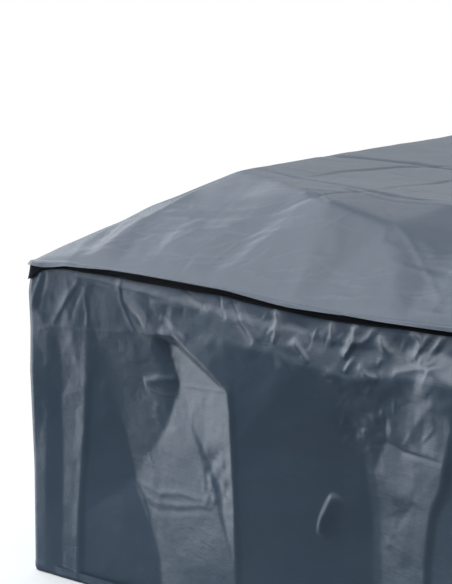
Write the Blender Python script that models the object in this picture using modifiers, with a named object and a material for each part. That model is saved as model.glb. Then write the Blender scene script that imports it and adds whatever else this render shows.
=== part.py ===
"""Patio furniture cover: a coated cloth box that drapes over a garden table and its chairs.

Six sewn pieces: the top panel, four wall panels with plain hems, and a black binding tape round the
top edge. Metres, +Z up. The origin is under the middle of the top, where the furniture carries it.
"""
import math

import bpy
from mathutils import Vector
from mathutils.geometry import delaunay_2d_cdt

# Driving dimensions
LENGTH = 2.00            # along the front, edge to edge
WIDTH = 1.60             # front to back
SKIRT = 0.70             # binding line to hem
SHEET = 0.002            # thickness of every panel
CORNER_RADIUS = 0.015    # the plan corners, as sewn
CORNER_WRAP = 0.030      # how far the front and back panels run on past a corner
TAPE_WIDTH = 0.015
TAPE_THICKNESS = 0.002
GAP = 0.00035            # between pieces that are sewn together
TOP_UNDERSIDE = 0.158    # middle of the top, underside, above the binding line

# Mesh spacing
COLUMNS_ALONG = 40       # points on the long and short edges, shared by the pieces sewn there
COLUMNS_ACROSS = 32
TOP_SPACING = 0.085      # between points elsewhere
FRONT_SPACING = 0.065
HIDDEN_SPACING = 0.100
CLOSEST = 0.55           # share of the spacing that a filling point keeps from the fold lines
ARC_STEPS = 4
EDGE_FADE = 0.16         # how far in from the edge the top still follows the edge's rise and fall

LIP = GAP + TAPE_THICKNESS + 0.0003      # the top panel's edge stands this far outside the walls
TAPE_TOP = SHEET + GAP                   # depth of the tape's upper edge under the binding line
WALL_TOP = TAPE_TOP + 0.0004
TAPE_ZONE = TAPE_TOP + TAPE_WIDTH + 0.004    # the walls hang straight down to this depth

# Folds of the top panel, one row each: (along from the left edge, in from the front edge, height).
TOP_FOLDS = (
    ("hip, front left", (0.000, 0.000, 0.000), (0.165, 0.165, 0.102), (0.325, 0.327, 0.196)),
    ("hip, front right", (2.000, 0.000, 0.000), (1.690, 0.320, 0.190)),
    ("hip, back right", (2.000, 1.600, 0.000), (1.680, 1.280, 0.198)),
    ("hip, back left", (0.000, 1.600, 0.000), (0.325, 1.273, 0.208)),
    ("strip beside the hip", (0.325, 0.327, 0.196), (0.296, 0.225, 0.160), (0.250, 0.160, 0.122),
     (0.215, 0.105, 0.089), (0.185, 0.055, 0.053), (0.160, 0.018, 0.017)),
    ("middle of the front slope", (0.430, 0.205, 0.156), (0.430, 0.100, 0.084), (0.430, 0.020, 0.018)),
    ("left shoulder", (0.325, 0.327, 0.196), (0.325, 0.369, 0.197), (0.323, 0.617, 0.200),
     (0.325, 1.273, 0.208)),
    ("right shoulder", (1.690, 0.320, 0.190), (1.672, 0.800, 0.182), (1.680, 1.280, 0.198)),
    ("front shoulder, left", (0.325, 0.327, 0.196), (0.438, 0.297, 0.193), (0.572, 0.239, 0.186),
     (0.674, 0.204, 0.173), (0.832, 0.206, 0.141), (0.992, 0.181, 0.100)),
    ("front shoulder, right", (0.992, 0.181, 0.100), (1.240, 0.210, 0.128), (1.480, 0.270, 0.170),
     (1.690, 0.320, 0.190)),
    ("back shoulder", (0.325, 1.273, 0.208), (0.640, 1.350, 0.182), (0.980, 1.400, 0.142),
     (1.330, 1.355, 0.170), (1.680, 1.280, 0.198)),
    ("crease across, near", (0.325, 0.369, 0.197), (0.444, 0.357, 0.190), (0.557, 0.354, 0.183),
     (0.667, 0.365, 0.176), (0.861, 0.367, 0.163), (1.060, 0.400, 0.146)),
    ("crease back", (0.667, 0.365, 0.176), (0.666, 0.639, 0.164), (0.668, 0.790, 0.166),
     (0.670, 1.080, 0.170)),
    ("crease across, middle", (0.323, 0.617, 0.200), (0.478, 0.749, 0.184), (0.668, 0.790, 0.166),
     (1.000, 0.800, 0.160), (1.380, 0.820, 0.166), (1.672, 0.800, 0.182)),
)

# Rise and fall of the binding line, one row each: (along, height), front edge from the left corner.
FRONT_EDGE = (
    (0.00, 0.000), (0.12, 0.012), (0.34, 0.012), (0.56, 0.008), (0.69, 0.001), (0.86, -0.005),
    (1.12, 0.004), (1.45, 0.009), (1.75, 0.003), (2.00, 0.000),
)
BACK_EDGE = ((0.00, 0.000), (0.40, 0.009), (0.95, -0.006), (1.50, 0.010), (2.00, 0.000))
LEFT_EDGE = ((0.00, 0.000), (0.30, 0.006), (0.80, -0.004), (1.25, 0.008), (1.60, 0.000))
RIGHT_EDGE = ((0.00, 0.000), (0.35, 0.008), (0.85, -0.003), (1.30, 0.006), (1.60, 0.000))

# Folds of the front panel, one row each, from the binding down to the hem: points of
# (along, depth under the binding line, how far the cloth stands out).
FRONT_FOLDS = (
    ("ridge by the corner", (0.056, 0.143, 0.005), (0.056, 0.230, 0.003), (0.056, 0.430, 0.002),
     (0.056, 0.700, 0.002)),
    ("valley by the corner", (0.100, 0.139, 0.005), (0.096, 0.240, -0.003), (0.091, 0.415, -0.006),
     (0.087, 0.700, -0.004)),
    ("pleat, soft side", (0.152, 0.233, 0.000), (0.140, 0.310, -0.003), (0.127, 0.422, -0.004),
     (0.114, 0.700, -0.002)),
    ("pleat, sharp edge", (0.183, 0.137, 0.006), (0.177, 0.195, 0.004), (0.171, 0.274, 0.001),
     (0.153, 0.466, -0.001), (0.138, 0.700, 0.001)),
    ("behind the pleat", (0.192, 0.215, 0.001), (0.187, 0.273, -0.004), (0.170, 0.467, -0.008),
     (0.158, 0.700, -0.006)),
    ("bottom of the dark slope", (0.231, 0.218, -0.005), (0.253, 0.307, -0.014),
     (0.281, 0.394, -0.026), (0.290, 0.445, -0.030)),
    ("crease along, left", (0.056, 0.143, 0.005), (0.100, 0.139, 0.005), (0.183, 0.137, 0.006),
     (0.322, 0.123, 0.006), (0.398, 0.118, 0.013), (0.460, 0.108, 0.023)),
    ("under the slit", (0.282, 0.041, 0.003), (0.322, 0.123, 0.006), (0.363, 0.157, 0.003),
     (0.435, 0.218, -0.008)),
    ("kite, left edge", (0.435, 0.218, -0.008), (0.425, 0.248, -0.008), (0.393, 0.312, -0.010),
     (0.343, 0.378, -0.018), (0.290, 0.445, -0.030), (0.355, 0.516, -0.019),
     (0.371, 0.604, -0.017), (0.381, 0.700, -0.015)),
    ("wedge, right edge", (0.435, 0.218, -0.008), (0.468, 0.152, 0.003), (0.533, 0.173, 0.020),
     (0.616, 0.193, 0.042)),
    ("panel edge over the wedge", (0.460, 0.108, 0.023), (0.551, 0.148, 0.036),
     (0.616, 0.193, 0.042)),
    ("kite, top crease", (0.435, 0.218, -0.008), (0.542, 0.204, 0.020), (0.616, 0.193, 0.042)),
    ("kite, right edge", (0.616, 0.193, 0.042), (0.630, 0.295, 0.047), (0.635, 0.430, 0.048),
     (0.635, 0.700, 0.041)),
    ("crease along, right", (0.460, 0.108, 0.023), (0.609, 0.094, 0.033), (0.724, 0.098, 0.033),
     (0.894, 0.125, 0.028), (0.996, 0.107, 0.034), (1.165, 0.096, 0.056)),
    ("flat panel, right edge", (0.894, 0.125, 0.028), (0.897, 0.176, 0.019), (0.931, 0.294, 0.003),
     (0.942, 0.394, -0.003), (0.950, 0.700, -0.005)),
    ("blotchy part, soft turn", (0.956, 0.294, 0.008), (0.966, 0.392, 0.001),
     (0.975, 0.700, -0.001)),
    ("right facet, left edge", (0.996, 0.107, 0.034), (0.988, 0.169, 0.026), (0.986, 0.235, 0.014),
     (1.038, 0.243, 0.029), (1.156, 0.240, 0.064)),
    ("right facet, right edge", (1.165, 0.096, 0.056), (1.156, 0.240, 0.064),
     (1.118, 0.347, 0.055), (1.102, 0.443, 0.047), (1.097, 0.700, 0.040)),
    ("plain valley", (1.300, 0.140, 0.014), (1.310, 0.380, 0.004), (1.320, 0.700, 0.000)),
    ("plain ridge", (1.500, 0.130, 0.024), (1.480, 0.380, 0.030), (1.470, 0.700, 0.030)),
    ("far valley", (1.760, 0.130, 0.008), (1.740, 0.380, -0.006), (1.720, 0.700, -0.010)),
    ("far ridge", (1.900, 0.130, 0.010), (1.890, 0.380, 0.014), (1.870, 0.700, 0.014)),
)

# Slack stretches of the front panel right under the binding: (along, depth, how far out).
SLACK = (
    ("slack strip, left", (0.102, 0.060, 0.002), (0.178, 0.061, 0.002), (0.238, 0.061, 0.003)),
    ("slack strip", (0.342, 0.060, 0.009), (0.431, 0.050, 0.012), (0.513, 0.050, 0.015),
     (0.647, 0.054, 0.017), (0.771, 0.058, 0.015), (0.897, 0.059, 0.010), (1.013, 0.053, 0.012),
     (1.300, 0.055, 0.012), (1.500, 0.055, 0.012), (1.850, 0.055, 0.006)),
)

# Upright folds of the hidden panels, one row each: (along, lean to the hem, how far out at the hem).
BACK_FOLDS = (
    (0.18, -0.03, 0.016), (0.36, 0.02, -0.012), (0.60, -0.02, 0.022), (0.84, 0.03, -0.010),
    (1.06, 0.02, 0.018), (1.30, -0.03, -0.012), (1.55, 0.03, 0.020), (1.80, -0.02, -0.010),
)
LEFT_FOLDS = ((0.20, 0.02, -0.010), (0.42, -0.02, 0.020), (0.70, 0.03, -0.012), (0.98, 0.02, 0.018),
              (1.26, -0.02, -0.010), (1.42, 0.01, 0.010))
RIGHT_FOLDS = ((0.16, -0.02, 0.012), (0.40, 0.03, -0.012), (0.66, -0.02, 0.022), (0.92, 0.02, -0.010),
               (1.18, -0.03, 0.018), (1.42, 0.01, -0.008))
CREASE_DEPTH = 0.135     # the packing crease that runs round under the binding
CREASE_SHARE = 0.45      # a hidden fold stands this much of its full depth out at that crease

CLOTH_COLOUR = (0.060, 0.082, 0.115, 1.0)
CLOTH_ROUGHNESS = 0.42
TAPE_COLOUR = (0.010, 0.009, 0.011, 1.0)
TAPE_ROUGHNESS = 0.62


def interpolate(rows, place):
    """Straight-line value between rows of (place, value)."""
    for (a, value_a), (b, value_b) in zip(rows, rows[1:]):
        if place <= b:
            share = (max(place, a) - a) / (b - a)
            return value_a + (value_b - value_a) * share
    return rows[-1][1]


def spread(start, end, spacing):
    """Evenly spaced values from start to end, both included."""
    count = max(1, math.ceil(abs(end - start) / spacing - 1e-6))
    return [start + (end - start) * i / count for i in range(count + 1)]


def divided(line, spacing):
    """A line of plan points with more points between them, no further apart than the spacing."""
    points = [tuple(line[0][:2])]
    for (ax, ay, *_), (bx, by, *_) in zip(line, line[1:]):
        shares = spread(0.0, math.hypot(bx - ax, by - ay), spacing)
        points += [(ax + (bx - ax) * share / shares[-1], ay + (by - ay) * share / shares[-1])
                   for share in shares[1:]]
    return points


def triangulate(lines, loose=()):
    """Triangles over a flat set of lines, which become edges, and loose points."""
    points = []
    edges = []
    for line in lines:
        first = len(points)
        points += [Vector(point[:2]) for point in line]
        edges += [(i, i + 1) for i in range(first, len(points) - 1)]
    points += [Vector(point) for point in loose]
    places, _, faces, sources, _, _ = delaunay_2d_cdt(points, edges, [], 0, 1e-5)
    return places, faces, sources


def facets(lines):
    """Flat facets stretched between fold lines of (x, y, value): triangles of such corners."""
    places, faces, sources = triangulate(lines)
    corners = [corner for line in lines for corner in line]
    if not all(sources):
        raise ValueError("two fold lines cross without a shared point")
    return [[(places[i].x, places[i].y, corners[sources[i][0]][2]) for i in face] for face in faces]


def facet_value(triangles, x, y):
    """Value of the facet under a point, or of the nearest one."""
    best = (-math.inf, 0.0)
    for (ax, ay, a), (bx, by, b), (cx, cy, c) in triangles:
        area = (bx - ax) * (cy - ay) - (cx - ax) * (by - ay)
        if abs(area) < 1e-9:
            continue
        weight_b = ((x - ax) * (cy - ay) - (cx - ax) * (y - ay)) / area
        weight_c = ((bx - ax) * (y - ay) - (x - ax) * (by - ay)) / area
        weight_a = 1.0 - weight_b - weight_c
        inside = min(weight_a, weight_b, weight_c)
        if inside > best[0]:
            best = (inside, weight_a * a + weight_b * b + weight_c * c)
        if inside >= 0.0:
            break
    return best[1]


def edge_height(along, inward):
    """Height of the binding line at the edge point nearest to a place on the top."""
    to_side = {"front": inward, "back": WIDTH - inward, "left": along, "right": LENGTH - along}
    rows, place_on_edge = {
        "front": (FRONT_EDGE, along),
        "back": (BACK_EDGE, along),
        "left": (LEFT_EDGE, inward),
        "right": (RIGHT_EDGE, inward),
    }[min(to_side, key=to_side.get)]
    return interpolate(rows, place_on_edge)


def place(along, inward, height):
    """From distances along the front, in from it and above the binding line to the part's frame."""
    return Vector((along - LENGTH / 2, inward - WIDTH / 2, height - TOP_UNDERSIDE))


# The plan outline ---------------------------------------------------------------------------------

def side_length(side):
    """Length of one side between the corners."""
    return LENGTH if side in ("front", "back") else WIDTH


def edge_columns(length, count):
    """Places of the points along one edge, between the rounds of its corners."""
    return spread(CORNER_RADIUS, length - CORNER_RADIUS, (length - 2 * CORNER_RADIUS) / count)


def arc_length():
    """Length of the outline round one corner."""
    return CORNER_RADIUS * math.pi / 2


def corner_columns(length):
    """Places of the points round both corners of a panel, as distances along its unrolled outline."""
    steps = [CORNER_RADIUS - arc_length() * i / ARC_STEPS for i in range(1, ARC_STEPS + 1)]
    left = [steps[-1] - CORNER_WRAP] + steps[::-1]
    return left, [length - s for s in reversed(left)]


def round_outline(s):
    """Plan point and outward direction at a distance along the front edge, on round its corners."""
    from_left = min(s, LENGTH - s)
    turn = (CORNER_RADIUS - from_left) / arc_length()
    if turn <= 0.0:
        x, y, out_x, out_y = from_left, 0.0, 0.0, -1.0
    elif turn <= 1.0:
        out_x, out_y = -math.sin(turn * math.pi / 2), -math.cos(turn * math.pi / 2)
        x, y = CORNER_RADIUS * (1.0 + out_x), CORNER_RADIUS * (1.0 + out_y)
    else:
        x, y, out_x, out_y = 0.0, CORNER_RADIUS + (turn - 1.0) * arc_length(), -1.0, 0.0
    if s > LENGTH / 2:
        x, out_x = LENGTH - x, -out_x
    return x, y, out_x, out_y


def outline(side, s):
    """Plan point and outward direction on one side, s being its distance along or in."""
    if side == "left":
        return 0.0, s, -1.0, 0.0
    if side == "right":
        return LENGTH, s, 1.0, 0.0
    x, y, out_x, out_y = round_outline(s)
    if side == "back":
        return x, WIDTH - y, out_x, -out_y
    return x, y, out_x, out_y


# Folds --------------------------------------------------------------------------------------------

def top_edge(spacing_along, spacing_across):
    """The top panel's edge as a closed line of (along, in, height), from the front left corner."""
    along = spread(0.0, LENGTH, spacing_along)
    across = spread(0.0, WIDTH, spacing_across)
    line = [(x, 0.0, 0.0) for x in along] + [(LENGTH, y, 0.0) for y in across[1:]]
    line += [(x, WIDTH, 0.0) for x in reversed(along[:-1])]
    line += [(0.0, y, 0.0) for y in reversed(across[:-1])]
    return line


def flat_lines(places):
    """Upright lines where a wall panel hangs straight, from the tape to the hem."""
    return [[(s, TAPE_ZONE, 0.0), (s, SKIRT, 0.0)] for s in places]


def wall_folds(side):
    """The fold lines of a wall panel, the straight ends among them."""
    if side == "front":
        return [row[1:] for row in FRONT_FOLDS + SLACK] + flat_lines(
            (0.0, CORNER_WRAP, LENGTH - CORNER_WRAP, LENGTH))
    table = {"back": BACK_FOLDS, "left": LEFT_FOLDS, "right": RIGHT_FOLDS}[side]
    length = side_length(side)
    flat_end = CORNER_RADIUS + 2 * CORNER_WRAP
    lines = flat_lines((0.0, flat_end, length - flat_end, length))
    for along, lean, out in table:
        lines.append([(along, CREASE_DEPTH, out * CREASE_SHARE), (along + lean, SKIRT, out)])
    return lines


# Pieces -------------------------------------------------------------------------------------------

def finish(colour, roughness, name):
    """A plain coated cloth or tape finish."""
    material = bpy.data.materials.new(name)
    material.use_nodes = True
    shader = material.node_tree.nodes["Principled BSDF"]
    shader.inputs["Base Color"].default_value = colour
    shader.inputs["Roughness"].default_value = roughness
    shader.inputs["Metallic"].default_value = 0.0
    return material


def thick_sheet(name, points, faces, thickness, material, collection):
    """An open surface, faces pointing out, with its thickness laid on the inside."""
    mesh = bpy.data.meshes.new(name)
    mesh.from_pydata(points, [], faces)
    mesh.materials.append(material)
    piece = bpy.data.objects.new(name, mesh)
    collection.objects.link(piece)
    solid = piece.modifiers.new("Cloth thickness", "SOLIDIFY")
    solid.thickness = thickness
    solid.offset = -1.0
    return piece


def filling(lines, spacing, x_span, y_span):
    """Staggered points between the lines, none close to a point of theirs."""
    taken = [point for line in lines for point in line]
    loose = []
    for row, y in enumerate(spread(*y_span, spacing)):
        shift = spacing / 2 if row % 2 else 0.0
        for x in spread(*x_span, spacing):
            near = min(math.hypot(x + shift - a, y - b) for a, b, *_ in taken)
            if near > spacing * CLOSEST and x + shift < x_span[1]:
                loose.append((x + shift, y))
    return loose


def lip(along, inward):
    """Moves the top panel's edge out over the tape, and its corner points onto their rounds."""
    x_side = (along == LENGTH) - (along == 0.0)
    y_side = (inward == WIDTH) - (inward == 0.0)
    reach = LIP
    if x_side and y_side:
        reach = LIP * math.sqrt(0.5) - CORNER_RADIUS * (1.0 - math.sqrt(0.5))
    return along + x_side * reach, inward + y_side * reach


def top_panel(material, collection):
    """The top: hips and shoulders over the chair backs, sagging between them."""
    folds = [row[1:] for row in TOP_FOLDS]
    shape = facets(folds + [top_edge(LENGTH / 8, WIDTH / 6)])
    along = [0.0] + edge_columns(LENGTH, COLUMNS_ALONG) + [LENGTH]
    across = edge_columns(WIDTH, COLUMNS_ACROSS)
    border = [(x, 0.0) for x in along] + [(LENGTH, y) for y in across]
    border += [(x, WIDTH) for x in reversed(along)] + [(0.0, y) for y in reversed(across)]
    border.append(border[0])
    lines = [divided(fold, TOP_SPACING) for fold in folds] + [border]
    loose = filling(lines, TOP_SPACING, (0.0, LENGTH), (0.0, WIDTH))
    places, faces, _ = triangulate(lines, loose)
    points = []
    for x, y in places:
        x, y = snapped(x, LENGTH), snapped(y, WIDTH)
        edge = min(x, y, LENGTH - x, WIDTH - y)
        height = facet_value(shape, x, y) + edge_height(x, y) * max(0.0, 1.0 - edge / EDGE_FADE)
        points.append(place(*lip(x, y), height))
    return thick_sheet("top_panel", points, faces, SHEET, material, collection)


def snapped(value, end):
    """Puts a stored value back exactly on the edge that it rounds to."""
    for edge in (0.0, end):
        if abs(value - edge) < 1e-5:
            return edge
    return value


def wall_columns(side):
    """Places of the points along a wall panel's upper edge."""
    if side in ("front", "back"):
        left, right = corner_columns(LENGTH)
        return left + edge_columns(LENGTH, COLUMNS_ALONG) + right
    low = CORNER_RADIUS + CORNER_WRAP + GAP
    high = WIDTH - low
    inner = [y for y in edge_columns(WIDTH, COLUMNS_ACROSS)
             if low + GAP < y < high - GAP]
    return [low] + inner + [high]


def wall_panel(side, spacing, material, collection):
    """A wall: straight behind the tape, then folded down to its hem."""
    shape = facets(wall_folds(side))
    columns = wall_columns(side)
    ends = (columns[0], columns[-1])
    lines = [[(s, WALL_TOP) for s in columns], [(s, TAPE_ZONE) for s in columns]]
    lines += [divided([(ends[0], SKIRT), (ends[1], SKIRT)], spacing)]
    if side in ("front", "back"):
        bends = [s for part in corner_columns(LENGTH) for s in part]
        bends += [CORNER_RADIUS, LENGTH - CORNER_RADIUS]
    else:
        bends = list(ends)
    lines += [[(s, WALL_TOP)] + divided([(s, TAPE_ZONE), (s, SKIRT)], spacing) for s in bends]
    lines += [divided(fold, spacing) for fold in wall_folds(side)
              if all(ends[0] < point[0] < ends[1] for point in fold)]
    loose = filling(lines, spacing, ends, (TAPE_ZONE, SKIRT))
    places, faces, _ = triangulate(lines, loose)
    points = []
    for s, depth in places:
        x, y, out_x, out_y = outline(side, s)
        within = min(max(s, 0.0), side_length(side))
        out = facet_value(shape, within, depth) if depth > TAPE_ZONE else 0.0
        drop = edge_height(x, y) * (1.0 - depth / SKIRT)
        points.append(place(x + out_x * out, y + out_y * out, drop - depth))
    if side in ("front", "right"):
        faces = [face[::-1] for face in faces]
    return thick_sheet(side + "_panel", points, faces, SHEET, material, collection)


def binding(material, collection):
    """The black tape: one closed loop round the top edge, under the lip."""
    offset = GAP + TAPE_THICKNESS
    columns = [outline("front", s) for s in wall_columns("front")[1:-1]]
    columns += [outline("right", s) for s in edge_columns(WIDTH, COLUMNS_ACROSS)[1:-1]]
    columns += [outline("back", s) for s in reversed(wall_columns("back")[1:-1])]
    columns += [outline("left", s) for s in reversed(edge_columns(WIDTH, COLUMNS_ACROSS)[1:-1])]
    points = []
    for x, y, out_x, out_y in columns:
        for depth in (TAPE_TOP, TAPE_TOP + TAPE_WIDTH):
            drop = edge_height(x, y) * (1.0 - depth / SKIRT)
            points.append(place(x + out_x * offset, y + out_y * offset, drop - depth))
    count = len(points)
    faces = [(i, i + 1, (i + 3) % count, (i + 2) % count) for i in range(0, count, 2)]
    return thick_sheet("binding", points, faces, TAPE_THICKNESS, material, collection)


def clear_scene():
    """Starts from an empty scene."""
    for thing in list(bpy.data.objects):
        bpy.data.objects.remove(thing, do_unlink=True)


def main():
    """Builds the cover's six pieces."""
    clear_scene()
    collection = bpy.data.collections.new("furniture_cover")
    bpy.context.scene.collection.children.link(collection)
    cloth = finish(CLOTH_COLOUR, CLOTH_ROUGHNESS, "coated_cloth")
    tape = finish(TAPE_COLOUR, TAPE_ROUGHNESS, "binding_tape")
    top_panel(cloth, collection)
    wall_panel("front", FRONT_SPACING, cloth, collection)
    for side in ("right", "back", "left"):
        wall_panel(side, HIDDEN_SPACING, cloth, collection)
    binding(tape, collection)


main()
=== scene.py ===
"""Looks of the patio furniture cover: fine folded cloth, black binding tape, stitching and studio light.

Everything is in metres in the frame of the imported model. Plan places on the cover are given as
(along from the left edge, in from the front edge); places on a wall as (along, depth under the binding).
"""

import math
import random

import bmesh
import bpy
import numpy as np
from mathutils import Matrix, Vector
from mathutils.geometry import delaunay_2d_cdt


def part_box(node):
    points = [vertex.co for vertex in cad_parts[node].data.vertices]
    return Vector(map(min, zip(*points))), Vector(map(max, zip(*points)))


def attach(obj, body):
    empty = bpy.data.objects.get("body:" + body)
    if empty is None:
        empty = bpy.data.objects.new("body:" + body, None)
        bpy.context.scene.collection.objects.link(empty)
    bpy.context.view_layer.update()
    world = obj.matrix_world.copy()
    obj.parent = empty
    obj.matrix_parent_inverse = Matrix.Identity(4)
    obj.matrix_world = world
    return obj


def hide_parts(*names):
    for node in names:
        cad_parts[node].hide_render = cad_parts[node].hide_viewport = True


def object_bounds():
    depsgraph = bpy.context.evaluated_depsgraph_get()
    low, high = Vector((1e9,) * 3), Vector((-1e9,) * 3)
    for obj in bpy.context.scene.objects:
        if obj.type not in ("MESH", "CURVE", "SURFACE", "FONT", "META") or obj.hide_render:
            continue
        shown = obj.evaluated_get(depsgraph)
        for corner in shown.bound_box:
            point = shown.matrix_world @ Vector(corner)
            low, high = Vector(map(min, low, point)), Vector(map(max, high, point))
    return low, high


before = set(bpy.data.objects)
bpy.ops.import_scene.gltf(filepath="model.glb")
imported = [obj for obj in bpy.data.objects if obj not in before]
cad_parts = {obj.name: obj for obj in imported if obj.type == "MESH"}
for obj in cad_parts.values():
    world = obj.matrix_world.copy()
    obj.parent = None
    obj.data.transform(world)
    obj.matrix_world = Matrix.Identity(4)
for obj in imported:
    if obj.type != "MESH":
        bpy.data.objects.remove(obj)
CAD_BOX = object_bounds()

# Sizes ---------------------------------------------------------------------------------------------

TAPE_STAND_OFF = 0.00235                 # outer face of the tape outside the walls' edge line
BINDING_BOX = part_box("binding")
LENGTH = BINDING_BOX[1].x - BINDING_BOX[0].x - 2 * TAPE_STAND_OFF
WIDTH = BINDING_BOX[1].y - BINDING_BOX[0].y - 2 * TAPE_STAND_OFF
TOP_UNDERSIDE = 0.158                    # middle of the top, underside, above the binding line
SKIRT = -CAD_BOX[0].z - TOP_UNDERSIDE    # binding line to hem
CORNER_RADIUS = 0.015
CORNER_WRAP = 0.030                      # the front and back panels run on past a corner
CLOTH_THICKNESS = 0.0008
TAPE_WIDTH = 0.015
TAPE_THICKNESS = 0.0012
TAPE_TOP = 0.0018                        # depth of the tape's upper edge under the binding line
TAPE_ZONE = 0.020                        # the walls hang straight down to this depth
TAPE_CLEAR = 0.0031                      # the top panel turns down here, clear of the tape and its stitches
LIP_SHARE = 0.8                          # the turned-down edge leans out this share of its droop
LIP_MOST = 0.0050
ROLL = 0.012                             # the top panel bends out and down over this width at its edge
TURN_DOWN = 0.0045                       # the last of it hangs down over the tape
EDGE_FADE = 0.16                         # how far in the top follows the rise and fall of its edge
LATTICE = 0.003                          # spacing of the height maps
UNEVEN = 0.42                            # how far a crumple's corner strays, in cells
RUB_WIDTH = 0.004                        # half width of the rubbed line along a crease
HEM = 0.020                              # the turned-up hem, shown as a slight step
HEM_TURN = ((0.0, 0.5), (0.0, 1.5), (0.001, 2.0), (HEM, 2.0))    # (height, cloth thicknesses in) behind it
BEND_START = CORNER_RADIUS * (1.0 - math.pi / 2)     # a corner's bend, along the front edge
WALL_START = 0.0030                      # depth of the walls' upper edges, behind the tape
SEAM_GAP = 0.0004                        # between a side wall and the wrapped end of the next one
OUTWARD = {"front": (0, -1, 0), "back": (0, 1, 0), "left": (-1, 0, 0), "right": (1, 0, 0)}

# The meshes are fine where the photo shows the cover, and over the rolled edge.
TOP_FINE_TO = 1.17                       # along the top
FRONT_FINE_TO = 1.18                     # along the front
ROLL_FINE = 0.015                        # in from each edge of the top

# The binding tape and its stitches.
TAPE_BULGE = ((0.25, 0.0003), (0.5, 0.0004), (0.75, 0.0003))     # (share of the width, out)
CORNER_REACH = 0.030                     # the tape lifts this far round the front left corner
CORNER_FLARE = 0.0060                    # its lower edge stands out there
CORNER_DIP = 0.024                       # and hangs lower
STITCH_SIZES = {"Pitch": 0.0042, "Stitch": 0.0032, "Thread": 0.0003}     # Thread is its radius
STITCH_ROWS = (0.0028, TAPE_WIDTH - 0.0022)          # down from the tape's upper edge

# Corners where folds of the top meet: (along, in, height above the binding line).
HIP_TOP_FRONT_LEFT = (0.325, 0.327, 0.196)
HIP_TOP_FRONT_RIGHT = (1.690, 0.320, 0.190)
HIP_TOP_BACK_RIGHT = (1.680, 1.280, 0.198)
HIP_TOP_BACK_LEFT = (0.325, 1.273, 0.208)
SHOULDER_DIP = (0.992, 0.181, 0.100)
NEAR_CREASE_LEFT = (0.325, 0.369, 0.197)
MIDDLE_CREASE_LEFT = (0.323, 0.617, 0.200)
MIDDLE_CREASE_RIGHT = (1.672, 0.800, 0.182)
NEAR_CROSSING = (0.667, 0.365, 0.176)
MIDDLE_CROSSING = (0.668, 0.790, 0.166)

# Folds of the top panel: name, then points of (along, in, height above the binding line).
TOP_FOLDS = (
    ("hip, front left", (0.000, 0.000, 0.000), (0.165, 0.165, 0.102), HIP_TOP_FRONT_LEFT),
    ("hip, front right", (2.000, 0.000, 0.000), HIP_TOP_FRONT_RIGHT),
    ("hip, back right", (2.000, 1.600, 0.000), HIP_TOP_BACK_RIGHT),
    ("hip, back left", (0.000, 1.600, 0.000), HIP_TOP_BACK_LEFT),
    ("strip beside the hip", HIP_TOP_FRONT_LEFT, (0.296, 0.225, 0.160), (0.250, 0.160, 0.122),
     (0.215, 0.105, 0.089), (0.185, 0.055, 0.053), (0.160, 0.018, 0.017)),
    ("middle of the front slope", (0.430, 0.205, 0.156), (0.430, 0.100, 0.084), (0.430, 0.020, 0.018)),
    ("left shoulder", HIP_TOP_FRONT_LEFT, NEAR_CREASE_LEFT, MIDDLE_CREASE_LEFT, HIP_TOP_BACK_LEFT),
    ("right shoulder", HIP_TOP_FRONT_RIGHT, MIDDLE_CREASE_RIGHT, HIP_TOP_BACK_RIGHT),
    ("front shoulder, left", HIP_TOP_FRONT_LEFT, (0.438, 0.297, 0.193), (0.572, 0.239, 0.186),
     (0.674, 0.204, 0.173), (0.832, 0.206, 0.141), SHOULDER_DIP),
    ("front shoulder, right", SHOULDER_DIP, (1.240, 0.210, 0.128), (1.480, 0.270, 0.170),
     HIP_TOP_FRONT_RIGHT),
    ("back shoulder", HIP_TOP_BACK_LEFT, (0.640, 1.350, 0.182), (0.980, 1.400, 0.142),
     (1.330, 1.355, 0.170), HIP_TOP_BACK_RIGHT),
    ("crease across, near", NEAR_CREASE_LEFT, (0.444, 0.357, 0.190), (0.557, 0.354, 0.183), NEAR_CROSSING,
     (0.861, 0.367, 0.163), (1.060, 0.400, 0.146)),
    ("crease back", NEAR_CROSSING, (0.666, 0.639, 0.164), MIDDLE_CROSSING, (0.670, 1.080, 0.170)),
    ("crease across, middle", MIDDLE_CREASE_LEFT, (0.478, 0.749, 0.184), MIDDLE_CROSSING,
     (1.000, 0.800, 0.160), (1.380, 0.820, 0.166), MIDDLE_CREASE_RIGHT),
)

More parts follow.
